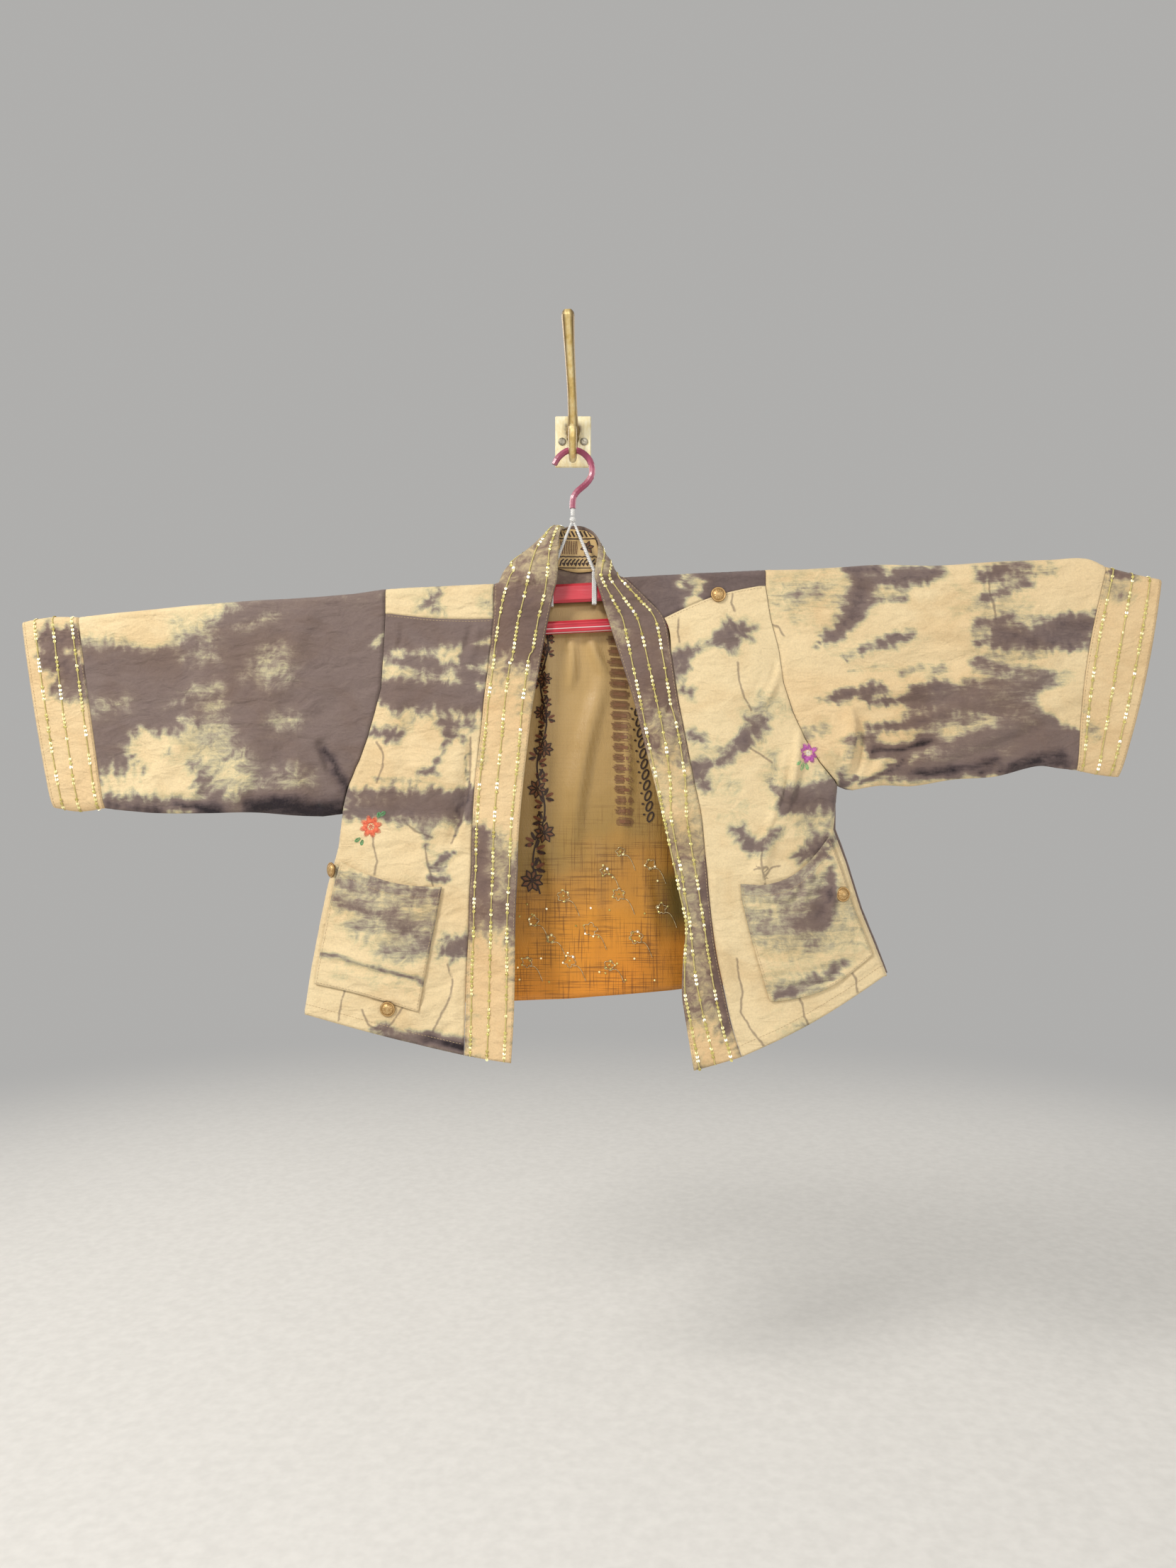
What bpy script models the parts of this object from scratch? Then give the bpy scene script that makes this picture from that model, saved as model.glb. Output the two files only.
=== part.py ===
# Short kimono jacket with wide straight sleeves, spread on a long bar hanger
# that hangs from a brass wall hook. Metres, +Z up, the open fronts face -Y.
# The origin is the middle of the wall plate's back face.
# Tables are in millimetres, because that is how the garment was measured.

from collections import namedtuple
from math import cos, hypot, pi, radians, sin

import bmesh
import bpy
from mathutils import Vector

MM = 0.001
COLLECTION = "short_kimono"

# Cloth and seams
CLOTH_WALL = 1.8
BAND_WALL = 2.4
LINING_WALL = 1.2
SEAM_GAP = 0.3
BACK_SEAM_DROP = 1.4
YOKE_BACK_GAP = 1.5
BAND_PUFF = 2.0
EDGE_ROLL = 8.0
BACK_CROWN = 6.0
FRONT_CROWN = 3.0
FRONT_COLUMNS = 8
BACK_HEM_SAG = 9.0
BACK_SIDE_BULGE = 6.0
POCKET_BELLY = 3.5

# The shoulder ridge is a straight line over the hanger bar
BAR_Y = -40.0
RIDGE_LEFT_X = -233.0
RIDGE_LEFT_Z = -195.0
RIDGE_RIGHT_X = 240.0
RIDGE_RIGHT_Z = -171.0
SHOULDER_ROLL = 7.0

# Stations down each side of the body, counted from the ridge
YOKE_SEAM = 3
ARMHOLE_SHEET = 9
UNDERARM = 11
HEM = 16

Row = namedtuple(
    "Row",
    "side_x side_z side_y back_y sheet_y back_sheet_y"
    " seam_x seam_z seam_y free_x free_z free_y sag",
)
Turn = namedtuple("Turn", "degrees seam_x free_x free_z free_y")
NeckRow = namedtuple(
    "NeckRow", "seam_x degrees mid_x mid_z mid_y free_x free_z free_y"
)
Section = namedtuple("Section", "top_x top_z bottom_x bottom_z front_y back_y bow")
Fold = namedtuple("Fold", "x0 z0 x1 z1 width height")
Pocket = namedtuple(
    "Pocket",
    "inner_top inner_base top_inner top_outer base_inner base_outer mouth_sag base_sag",
)

# Where the shoulder rolls over the bar: ridge, crest and brow
LEFT_TURNS = (
    Turn(0, -98, -19, -185, -58),
    Turn(45, -98, -20, -190, -58),
    Turn(90, -98, -22, -197, -57),
)
RIGHT_TURNS = (
    Turn(0, 64, 27, -181, -58),
    Turn(45, 66, 28, -186, -58),
    Turn(90, 71, 31, -194, -57),
)

# From the yoke seam down the armhole to the underarm, then the side to the hem
LEFT_BODY = (
    Row(-233, -227, -47, -32, -47, -32, -99, -233, -48, -30, -234, -51, -3),
    Row(-235, -270, -48, -30, -48, -30, -104, -284, -50, -41, -293, -53, 0),
    Row(-238, -319, -49, -28, -49, -27, -110, -332, -52, -50, -345, -55, 0),
    Row(-246, -350, -49, -27, -50, -25, -113, -365, -53, -54, -378, -56, 0),
    Row(-255, -381, -49, -27, -51, -24, -117, -400, -54, -58, -412, -58, 0),
    Row(-266, -411, -48, -28, -52, -23, -121, -440, -56, -62, -450, -60, 0),
    Row(-281, -445, -47, -30, -53, -23, -124, -488, -58, -66, -497, -63, 0),
    Row(-286, -468, -45, -35, -54, -23, -125, -520, -60, -67, -529, -65, 0),
    Row(-287, -476, -40, -40, -54, -23, -125, -537, -61, -67, -544, -66, 0),
    Row(-292, -517, -39, -39, -55, -23, -127, -577, -64, -69, -585, -70, 0),
    Row(-305, -563, -38, -38, -56, -22, -128, -624, -67, -70, -628, -74, 0),
    Row(-316, -615, -38, -38, -58, -22, -130, -672, -70, -70, -673, -78, 0),
    Row(-325, -664, -38, -38, -60, -21, -131, -719, -73, -71, -721, -83, 0),
    Row(-334, -723, -38, -38, -62, -20, -132, -769, -77, -74, -776, -88, -1),
)
RIGHT_BODY = (
    Row(240, -192, -47, -32, -47, -32, 114, -232, -48, 44, -234, -52, 6),
    Row(246, -232, -48, -30, -48, -30, 123, -279, -50, 61, -288, -55, 2),
    Row(256, -270, -49, -28, -49, -27, 131, -332, -52, 76, -337, -58, 0),
    Row(262, -312, -49, -27, -50, -25, 141, -385, -55, 89, -390, -61, 0),
    Row(274, -349, -49, -27, -51, -24, 150, -433, -57, 101, -438, -64, 0),
    Row(289, -382, -49, -28, -52, -23, 159, -477, -60, 111, -481, -67, 0),
    Row(308, -412, -48, -30, -53, -23, 163, -520, -63, 120, -524, -70, 0),
    Row(326, -433, -45, -35, -54, -23, 166, -550, -65, 127, -555, -73, 0),
    Row(330, -441, -40, -40, -54, -23, 167, -566, -66, 130, -571, -74, 0),
    Row(325, -495, -40, -40, -56, -23, 171, -607, -69, 138, -610, -77, 0),
    Row(340, -535, -39, -39, -57, -22, 177, -650, -72, 135, -649, -80, 0),
    Row(358, -593, -38, -38, -59, -22, 186, -693, -75, 133, -691, -83, 0),
    Row(376, -637, -38, -38, -61, -21, 195, -735, -78, 136, -717, -85, -2),
    Row(391, -675, -38, -38, -64, -20, 206, -770, -81, 147, -785, -88, -6),
)

# The neckband's sections behind and beside the neck, from left to right.
# Beside the neck the band arches: it rolls from the front over to the back.
NECK = (
    NeckRow(-98, 0, -60, -184, -57, -19, -185, -58),
    NeckRow(-97, -45, -67, -174, -51, -18, -172, -57),
    NeckRow(-93, -90, -74, -163, -44, -18, -162, -56),
    NeckRow(-77, -90, -50, -139, -38, -17, -140, -52),
    NeckRow(-53, -90, -28, -122, -31, -15, -123, -43),
    NeckRow(-25, -90, -12, -140, -26, -7, -115, -31),
    NeckRow(4, -90, 4, -150, -25, 5, -113, -27),
    NeckRow(27, -90, 27, -150, -26, 20, -117, -28),
    NeckRow(43, -90, 43, -158, -31, 33, -132, -35),
    NeckRow(53, -90, 48, -161, -45, 31, -155, -51),
    NeckRow(60, -45, 48, -170, -52, 28, -170, -56),
    NeckRow(64, 0, 46, -180, -57, 27, -181, -58),
)
NECK_LINING_FIRST = 4.5
NECK_LINING_LAST = 7.5
NECK_LINING_GAP = 1.1
BAND_SHARES = (0.0, 0.2, 0.4, 0.6, 0.8, 0.93, 1.0)

# Sleeve sections from near the armhole to the cuff seam, then the cuff's own
LEFT_SLEEVE = (
    Section(-275, -201, -312, -479, -49, -28, 0),
    Section(-326, -205.5, -345, -478, -51, -27, 0),
    Section(-390, -209, -400, -474, -51, -28, 0),
    Section(-460, -214, -455, -475, -50, -29, 0),
    Section(-530, -221, -515, -475, -49, -30, 0),
    Section(-580, -226, -555, -472, -48, -31, 0),
    Section(-616, -230, -584, -469, -47, -32, 0),
)
LEFT_CUFF = (
    Section(-616, -230, -584, -469, -47, -32, 0),
    Section(-650, -230, -617, -473, -48, -32, -2),
    Section(-685, -236, -648, -468, -48, -31, -2),
)
RIGHT_SLEEVE = (
    Section(285, -170.5, 350, -446, -49, -28, 0),
    Section(330, -168, 385, -440.5, -51, -27, 0),
    Section(383, -164.7, 425, -441, -51, -28, 0),
    Section(453, -165.6, 475, -433, -50, -29, 0),
    Section(524, -161.2, 528, -429, -49, -30, 0),
    Section(595, -158.5, 580, -416.5, -48, -31, 0),
    Section(640, -157, 607, -419, -47, -32, -6),
    Section(665, -167, 629, -421.5, -47, -32, -8),
)
RIGHT_CUFF = (
    Section(665, -167, 629, -421.5, -47, -32, -8),
    Section(700, -176, 655, -427, -48, -32, 0),
    Section(733, -183, 681, -430, -48, -31, 6),
)

# Largest folds, as lines on the front and back faces, outwards where positive
FRONT_FOLDS = (
    Fold(283, -370, 259, -451, 15, 5),
    Fold(259, -451, 230, -546, 15, 5),
    Fold(257, -293, 232, -335, 14, 3),
    Fold(-128, -400, -150, -510, 13, -3),
    Fold(-215, -300, -235, -470, 24, 3),
)
BACK_FOLDS = (
    Fold(-150, -260, -175, -700, 32, 4),
    Fold(-20, -300, -5, -710, 36, -3),
    Fold(120, -240, 150, -700, 30, 4),
    Fold(-250, -440, -290, -690, 24, -3),
    Fold(270, -430, 325, -660, 26, 4),
)
LEFT_SLEEVE_FOLDS = (
    Fold(-313, -390, -284, -447, 11, -4),
    Fold(-350, -400, -300, -470, 14, 3),
    Fold(-470, -360, -540, -470, 20, 3),
    Fold(-330, -230, -420, -440, 26, 3),
)
RIGHT_SLEEVE_FOLDS = (
    Fold(346, -350, 337, -430, 12, 4),
    Fold(380, -400, 365, -440, 10, -3),
    Fold(420, -420, 620, -330, 20, 3),
    Fold(300, -215, 560, -260, 26, 3),
)

LEFT_POCKET = Pocket(0.21, 0.30, 12.0, 12.35, 15.27, 15.33, 0.20, -0.05)
RIGHT_POCKET = Pocket(0.244, 0.275, 11.57, 12.15, 14.86, 15.25, 0.50, 0.30)
POCKET_OUTER = 0.985

# Buttons: domed, about 19 mm across
BUTTON_RADIUS = 9.5
BUTTON_HEIGHT = 4.5
BUTTON_BACK = 0.25

# The hanger: a flat bar, a lower rail and two arms that reach into the sleeves
BAR_HALF_LENGTH = 200.0
BAR_HEIGHT = 23.5
BAR_DEPTH = 7.0
HANGER_Y = -40.5
CLIP_WIDTH = 6.0
CLIP_DEPTH = 10.0
CLIP_NECK = 8.0
BAR_CLEARANCE = 3.2
RAIL_TOP = 46.0
RAIL_HEIGHT = 16.0
RAIL_DEPTH = 7.0
RAIL_HALF_LENGTH = 196.0
LINK_X = 188.0
LINK_WIDTH = 8.0
ARM_HEIGHT = 12.0
ARM_DEPTH = 6.0
TOUCH = 0.3
HANGER_LEG_X = 27.0
HANGER_CORD = 2.5
KNOT_Z = -108.0
KNOT_RADIUS = 4.0

# The wall hook
PLATE_WIDTH = 46.0
PLATE_HEIGHT = 66.0
PLATE_DEPTH = 3.0
SCREW_X = 14.0
SCREW_RADIUS = 5.0
SCREW_HEIGHT = 1.6

PathPoint = namedtuple("PathPoint", "x y z radius")
HANGER_HOOK = (
    PathPoint(-23, -40, -39.5, 3.6),
    PathPoint(-20, -40, -33.5, 4.0),
    PathPoint(-15.5, -40, -28, 4.0),
    PathPoint(-8, -40, -22.6, 4.0),
    PathPoint(0, -40, -21.0, 4.0),
    PathPoint(7.5, -40, -22.2, 4.0),
    PathPoint(15, -40, -26.5, 4.0),
    PathPoint(21.5, -40, -34.5, 4.0),
    PathPoint(24.4, -40, -45, 4.0),
    PathPoint(23, -40, -54.5, 4.0),
    PathPoint(16, -40, -64, 4.0),
    PathPoint(6.5, -40, -72, 4.0),
    PathPoint(1.5, -40, -79, 4.0),
    PathPoint(0.2, -40, -86, 4.0),
    PathPoint(0, -40, -94, 4.0),
)
UPPER_ARM = (
    PathPoint(0, -3.5, 12, 9.0),
    PathPoint(0, -5.5, 12, 8.8),
    PathPoint(0, -9.5, 12.5, 7.4),
    PathPoint(0, -16, 20, 6.4),
    PathPoint(-0.4, -26, 36, 6.0),
    PathPoint(-1.2, -44, 56, 5.8),
    PathPoint(-2.6, -62, 80, 6.2),
    PathPoint(-4.0, -77, 104, 6.8),
    PathPoint(-4.8, -86, 121, 7.6),
    PathPoint(-5.0, -89, 127, 7.8),
    PathPoint(-5.2, -91, 131.5, 6.8),
    PathPoint(-5.3, -92.2, 134.4, 3.8),
)
LOWER_HOOK = (
    PathPoint(0, -4.5, 4, 8.0),
    PathPoint(0, -6.2, 4, 8.0),
    PathPoint(0, -9.5, 2.5, 7.0),
    PathPoint(0, -14, -7, 6.0),
    PathPoint(0, -19, -19, 5.4),
    PathPoint(0, -27, -28, 5.0),
    PathPoint(0, -38, -30.4, 5.0),
    PathPoint(0, -49, -26.5, 5.0),
    PathPoint(0, -56, -16, 5.2),
    PathPoint(0, -58, -4, 5.6),
    PathPoint(0, -58.4, 2.5, 5.0),
    PathPoint(0, -58.6, 5.5, 3.0),
)


def clear_scene():
    """Take away every object that the scene starts with."""
    for old in list(bpy.data.objects):
        bpy.data.objects.remove(old, do_unlink=True)


def make_collection(name):
    """A collection under the scene for the garment's parts."""
    group = bpy.data.collections.new(name)
    bpy.context.scene.collection.children.link(group)
    return group


def make_material(name, color, roughness, metallic=0.0):
    """A plain Principled material with the piece's colour and finish."""
    material = bpy.data.materials.new(name)
    material.use_nodes = True
    shader = material.node_tree.nodes["Principled BSDF"]
    shader.inputs["Base Color"].default_value = (*color, 1.0)
    shader.inputs["Roughness"].default_value = roughness
    shader.inputs["Metallic"].default_value = metallic
    material.diffuse_color = (*color, 1.0)
    return material


def mix(a, b, share):
    """The value that lies share of the way from a to b."""
    return a + (b - a) * share


def ridge(x):
    """Height of the shoulder ridge above a point across the body."""
    share = (x - RIDGE_LEFT_X) / (RIDGE_RIGHT_X - RIDGE_LEFT_X)
    return mix(RIDGE_LEFT_Z, RIDGE_RIGHT_Z, share)


def rolled(x, degrees):
    """A point on the shoulder roll: 0 is the ridge, 90 in front, -90 behind."""
    angle = radians(degrees)
    drop = SHOULDER_ROLL * (1 - cos(angle))
    return Vector((x, BAR_Y - SHOULDER_ROLL * sin(angle), ridge(x) - drop))


def turn_row(turn, side_x):
    """The table row of one step of the shoulder roll."""
    side = rolled(side_x, turn.degrees)
    behind = rolled(side_x, -turn.degrees)
    seam = rolled(turn.seam_x, turn.degrees)
    return Row(
        side.x, side.z, side.y, behind.y, side.y, behind.y,
        seam.x, seam.z, seam.y, turn.free_x, turn.free_z, turn.free_y, 0,
    )


def body_rows(turns, side_x, body):
    """All stations of one side, from the ridge to the hem."""
    return [turn_row(turn, side_x) for turn in turns] + list(body)


LEFT = body_rows(LEFT_TURNS, RIDGE_LEFT_X, LEFT_BODY)
RIGHT = body_rows(RIGHT_TURNS, RIDGE_RIGHT_X, RIGHT_BODY)


def smooth(rows, knots, t):
    """A cubic through the rows, whose slope at each comes from its neighbours."""
    last = len(rows) - 1
    i = min(int(t), last - 1)
    share = t - i
    span = knots[i + 1] - knots[i]

    def slope(k, column):
        low = max(k - 1, 0)
        high = min(k + 1, last)
        return (rows[high][column] - rows[low][column]) / (knots[high] - knots[low])

    values = []
    for column in range(len(rows[0])):
        a = rows[i][column]
        b = rows[i + 1][column]
        start = slope(i, column) * span
        end = slope(i + 1, column) * span
        step = b - a
        values.append(
            a + start * share
            + (3 * step - 2 * start - end) * share ** 2
            + (start + end - 2 * step) * share ** 3
        )
    return type(rows[0])(*values)


def station(rows, t):
    """The row at station t of one side of the body."""
    if t == int(t):
        return rows[int(t)]
    knots = [-(row.side_z + row.seam_z) / 2 for row in rows]
    return smooth(rows, knots, t)


def fold_height(folds, x, z):
    """How far the folds lift the cloth at a point of its face."""
    lift = 0.0
    for fold in folds:
        along_x = fold.x1 - fold.x0
        along_z = fold.z1 - fold.z0
        length = hypot(along_x, along_z)
        share = ((x - fold.x0) * along_x + (z - fold.z0) * along_z) / length ** 2
        across = ((x - fold.x0) * along_z - (z - fold.z0) * along_x) / length
        beyond = max(-share, share - 1, 0) * length
        reach = hypot(across, beyond) / fold.width
        if reach < 1:
            lift += fold.height * (1 + cos(pi * reach)) / 2
    return lift


def inward(rows):
    """+1 on the left side of the body and -1 on the right."""
    return 1 if rows[0].side_x < 0 else -1


def side_blend(t):
    """0 down the armhole and 1 down the side, where front and back meet."""
    return min(max((t - ARMHOLE_SHEET) / (UNDERARM - ARMHOLE_SHEET), 0.0), 1.0)


EdgeStep = namedtuple("EdgeStep", "armhole_in side_in depth")
EDGE_STEPS = (
    EdgeStep(EDGE_ROLL, EDGE_ROLL, 1.0),
    EdgeStep(5.0, 2.5, 0.8),
    EdgeStep(2.5, 0.0, 0.35),
    EdgeStep(0.0, 0.0, 0.0),
)


def edge_line(rows, t, back):
    """The armhole's or side's edge, straight from row to row."""
    low = min(int(t), len(rows) - 2)
    above = rows[low]
    below = rows[low + 1]
    start = Vector((above.side_x, above.back_y if back else above.side_y, above.side_z))
    end = Vector((below.side_x, below.back_y if back else below.side_y, below.side_z))
    return start.lerp(end, t - low)


def edge_point(rows, t, step, back=False):
    """A point of the strip next to the armhole or side seam."""
    row = station(rows, t)
    blend = side_blend(t)
    edge = edge_line(rows, t, back)
    sheet_y = row.back_sheet_y if back else row.sheet_y
    gap = SEAM_GAP / 2
    edge.y += blend * (gap if back else -gap)
    reach = mix(step.armhole_in, step.side_in, blend) + gap * (1 - blend)
    if back and rows is RIGHT:
        reach -= BACK_SIDE_BULGE * min(max(t - UNDERARM, 0), 1) * sin(pi * step.depth)
    x = edge.x + inward(rows) * reach
    return Vector((x, mix(edge.y, sheet_y, step.depth), edge.z))


def front_point(rows, share, t):
    """A point of a front panel: share 0 at the band seam, 1 near the side."""
    row = station(rows, t)
    start = Vector((row.seam_x - inward(rows) * SEAM_GAP / 2, row.seam_y, row.seam_z))
    end = edge_point(rows, t, EDGE_STEPS[0])
    point = start.lerp(end, share)
    hump = sin(pi * share)
    point.z += row.sag * hump
    point.y -= FRONT_CROWN * hump * min(max(t - YOKE_SEAM, 0), 1)
    point.y -= fold_height(FRONT_FOLDS, point.x, point.z) * min(1, 4 * hump)
    return point


def back_point(share, t):
    """A point of the back panel's middle: share 0 at the left, 1 at the right."""
    start = edge_point(LEFT, t, EDGE_STEPS[0], back=True)
    end = edge_point(RIGHT, t, EDGE_STEPS[0], back=True)
    point = start.lerp(end, share)
    hump = sin(pi * share)
    down = (t - YOKE_SEAM) / (HEM - YOKE_SEAM)
    point.z -= BACK_HEM_SAG * hump ** 2 * max(down, 0)
    point.y += BACK_CROWN * hump * min(max(t - YOKE_SEAM + 1, 0), 1)
    point.y += fold_height(BACK_FOLDS, point.x, point.z) * min(1, 4 * hump)
    return point


def cloth(name, rows, wall, material, flip=False, closed=False, inset=0.0, even=True):
    """A sheet of cloth through a grid of points, thickened inwards by its wall.

    An inset first moves the whole sheet inwards, to lie against another sheet.
    """
    along = len(rows) - 1
    across = len(rows[0]) - 1
    form = bmesh.new()
    bmesh.ops.create_grid(form, x_segments=across, y_segments=along, size=0.5)
    for vert in form.verts:
        i = round((vert.co.x + 0.5) * across)
        j = round((vert.co.y + 0.5) * along)
        vert.co = rows[j][i] * MM
    if closed:
        bmesh.ops.remove_doubles(form, verts=form.verts, dist=0.01 * MM)
    if flip:
        bmesh.ops.reverse_faces(form, faces=form.faces)
    bmesh.ops.triangulate(form, faces=form.faces, quad_method="FIXED")
    form.normal_update()
    for vert in form.verts:
        vert.co -= vert.normal * inset * MM
    mesh = bpy.data.meshes.new(name)
    form.to_mesh(mesh)
    form.free()
    mesh.shade_smooth()
    piece = bpy.data.objects.new(name, mesh)
    parts.objects.link(piece)
    mesh.materials.append(material)
    thick = piece.modifiers.new("Wall", "SOLIDIFY")
    thick.thickness = wall * MM
    thick.offset = -1
    thick.use_even_offset = even
    return piece


def stations(first, last, finer=1):
    """Station numbers from first to last, with finer steps in each."""
    count = round((last - first) * finer)
    return [first + k / finer for k in range(count + 1)]


def front_line(rows, t):
    """Points across a front panel at station t, from the band to the armhole."""
    line = [front_point(rows, k / FRONT_COLUMNS, t) for k in range(FRONT_COLUMNS)]
    return line + [edge_point(rows, t, step) for step in EDGE_STEPS]


def make_fronts():
    """Two front panels, each from the band seam to the armhole and side."""
    for name, rows in (("front_left", LEFT), ("front_right", RIGHT)):
        grid = [front_line(rows, t) for t in stations(YOKE_SEAM, HEM, 2)]
        for point in grid[0]:
            point.z -= SEAM_GAP
        cloth(name, grid, CLOTH_WALL, dyed, flip=rows is RIGHT)


def yoke_line(rows, degrees, seam_x):
    """Points across a yoke where it rolls over the bar."""
    side_x = rows[0].side_x + inward(rows) * SEAM_GAP / 2
    near_x = side_x + inward(rows) * EDGE_ROLL
    start_x = seam_x - inward(rows) * (YOKE_BACK_GAP if degrees < 0 else SEAM_GAP)
    across = [mix(start_x, near_x, k / FRONT_COLUMNS) for k in range(FRONT_COLUMNS)]
    across += [side_x + inward(rows) * step.armhole_in for step in EDGE_STEPS]
    return [rolled(x, degrees) for x in across]


def make_yokes():
    """Two shoulder yokes, from the front seam over the bar to just behind it."""
    table = (
        ("yoke_left", LEFT, LEFT_TURNS, NECK[:3]),
        ("yoke_right", RIGHT, RIGHT_TURNS, NECK[:-4:-1]),
    )
    for name, rows, turns, neck in table:
        grid = [yoke_line(rows, row.degrees, row.seam_x) for row in neck[:0:-1]]
        grid += [yoke_line(rows, turn.degrees, turn.seam_x) for turn in turns]
        grid += [front_line(rows, t) for t in (YOKE_SEAM - 0.5, YOKE_SEAM)]
        cloth(name, grid, CLOTH_WALL, dyed, flip=rows is RIGHT)


BACK_SHARES = [k / 12 for k in range(1, 12)]


def make_back():
    """The back panel, from behind the shoulder ridge to the hem."""
    grid = []
    for t in stations(2, HEM):
        left = [edge_point(LEFT, t, step, back=True) for step in reversed(EDGE_STEPS)]
        right = [edge_point(RIGHT, t, step, back=True) for step in EDGE_STEPS]
        line = left + [back_point(share, t) for share in BACK_SHARES] + right
        if t == 2:
            for point in line:
                point.z -= BACK_SEAM_DROP
        grid.append(line)
    cloth("back_panel", grid, CLOTH_WALL, dyed)


def make_back_lining():
    """The printed lining inside the back, clear of its side rolls."""
    step_in = Vector((0, -(CLOTH_WALL + 2 * SEAM_GAP), 0))
    grid = []
    for t in stations(YOKE_SEAM, HEM):
        grid.append([back_point(share, t) + step_in for share in BACK_SHARES])
    cloth("back_lining", grid, LINING_WALL, printed)


def band_section(seam, middle, free, shares):
    """Points across the band on a curve from the seam through the middle."""
    line = []
    for share in shares:
        a = (1 - share) * (1 - 2 * share)
        b = 4 * share * (1 - share)
        c = share * (2 * share - 1)
        line.append(seam * a + middle * b + free * c)
    return line


def front_band(rows, t):
    """Seam, middle and free edge of the band on one front, at station t."""
    row = station(rows, t)
    seam = Vector((row.seam_x + inward(rows) * SEAM_GAP / 2, row.seam_y, row.seam_z))
    free = Vector((row.free_x, row.free_y, row.free_z))
    middle = seam.lerp(free, 0.5) - Vector((0, BAND_PUFF, 0))
    return seam, middle, free


NECK_KNOTS = [0.0]
for k in range(1, len(NECK)):
    step = hypot(NECK[k].mid_x - NECK[k - 1].mid_x, NECK[k].mid_z - NECK[k - 1].mid_z)
    NECK_KNOTS.append(NECK_KNOTS[-1] + max(step, 6.0))


def neck_band(t):
    """Seam, middle and free edge of the band at neck section t."""
    row = smooth(NECK, NECK_KNOTS, t)
    seam = rolled(row.seam_x, row.degrees)
    towards_middle = 1 if t < len(NECK) / 2 else -1
    seam.x += towards_middle * SEAM_GAP
    middle = Vector((row.mid_x, row.mid_y, row.mid_z))
    free = Vector((row.free_x, row.free_y, row.free_z))
    return seam, middle, free


def make_neckband():
    """One long band: up the left front, round the neck and down the right."""
    sections = [front_band(LEFT, t) for t in reversed(stations(YOKE_SEAM, HEM, 1))]
    sections += [front_band(LEFT, t) for t in (2.5, 2, 1)]
    sections += [neck_band(t) for t in stations(0, len(NECK) - 1, 1)[:3]]
    sections += [neck_band(t) for t in stations(2.5, len(NECK) - 3.5, 2)]
    sections += [neck_band(t) for t in stations(0, len(NECK) - 1, 1)[-3:]]
    sections += [front_band(RIGHT, t) for t in (1, 2, 2.5)]
    sections += [front_band(RIGHT, t) for t in stations(YOKE_SEAM, HEM, 1)]
    grid = [band_section(*section, BAND_SHARES) for section in sections]
    cloth("neckband", grid, BAND_WALL, dyed, even=False)


def make_neck_lining():
    """The printed facing on the inner side of the standing band."""
    shares = BAND_SHARES[1:-1]
    lines = stations(NECK_LINING_FIRST, NECK_LINING_LAST, 2)
    grid = [band_section(*neck_band(t), shares) for t in lines]
    depth = BAND_WALL + NECK_LINING_GAP
    cloth("neck_lining", grid, LINING_WALL, printed, inset=depth, even=False)


def ring_shares(rows):
    """How far down the armhole each station lies, from 0 to 1."""
    top = rows[0].side_z
    depth = top - rows[UNDERARM].side_z
    return [(top - rows[k].side_z) / depth for k in range(UNDERARM + 1)]


RING_BULGE = (0.0, 0.7, 0.95, 1.0, 1.0, 1.0, 1.0, 1.0, 1.0, 0.95, 0.6, 0.0)


def ring(rows, section, folds):
    """A closed loop round a sleeve or cuff: down its front and up its back."""
    shares = ring_shares(rows)
    last = len(shares) - 1
    loop = []
    for k in list(range(last + 1)) + list(range(last - 1, -1, -1)):
        behind = len(loop) > last
        share = shares[k]
        face_y = section.back_y if behind else section.front_y
        x = mix(section.top_x, section.bottom_x, share) + section.bow * sin(pi * share)
        z = mix(section.top_z, section.bottom_z, share)
        lift = fold_height(folds, x, z) * RING_BULGE[k]
        y = mix(BAR_Y, face_y, RING_BULGE[k]) - (0.6 * -lift if behind else lift)
        loop.append(Vector((x, y, z)))
    return loop


def armhole_ring(rows):
    """The sleeve's end at the armhole, which follows the body's edge."""
    loop = []
    out = Vector((-inward(rows) * SEAM_GAP, 0, 0))
    for k in range(UNDERARM + 1):
        row = rows[k]
        loop.append(Vector((row.side_x, row.side_y, row.side_z)) + out)
    for k in range(UNDERARM - 1, -1, -1):
        row = rows[k]
        loop.append(Vector((row.side_x, row.back_y, row.side_z)) + out)
    return loop


def make_sleeves():
    """Two wide sleeves, as flattened open tubes from the armhole to the cuff."""
    table = (
        ("left", LEFT, LEFT_SLEEVE, LEFT_CUFF, LEFT_SLEEVE_FOLDS),
        ("right", RIGHT, RIGHT_SLEEVE, RIGHT_CUFF, RIGHT_SLEEVE_FOLDS),
    )
    for side, rows, sleeve, cuff, folds in table:
        out = -inward(rows)
        knots = [abs(section.top_x + section.bottom_x) / 2 for section in sleeve]
        count = len(sleeve) - 1
        sections = [smooth(sleeve, knots, t) for t in stations(0, count, 2)]
        grid = [armhole_ring(rows)]
        grid += [ring(rows, section, folds) for section in sections]
        for point in grid[-1]:
            point.x -= out * SEAM_GAP
        cloth(f"sleeve_{side}", grid, CLOTH_WALL, dyed, flip=rows is LEFT, closed=True)
        grid = [ring(rows, section, ()) for section in cuff]
        cloth(f"cuff_{side}", grid, CLOTH_WALL, dyed, flip=rows is LEFT, closed=True)


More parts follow.
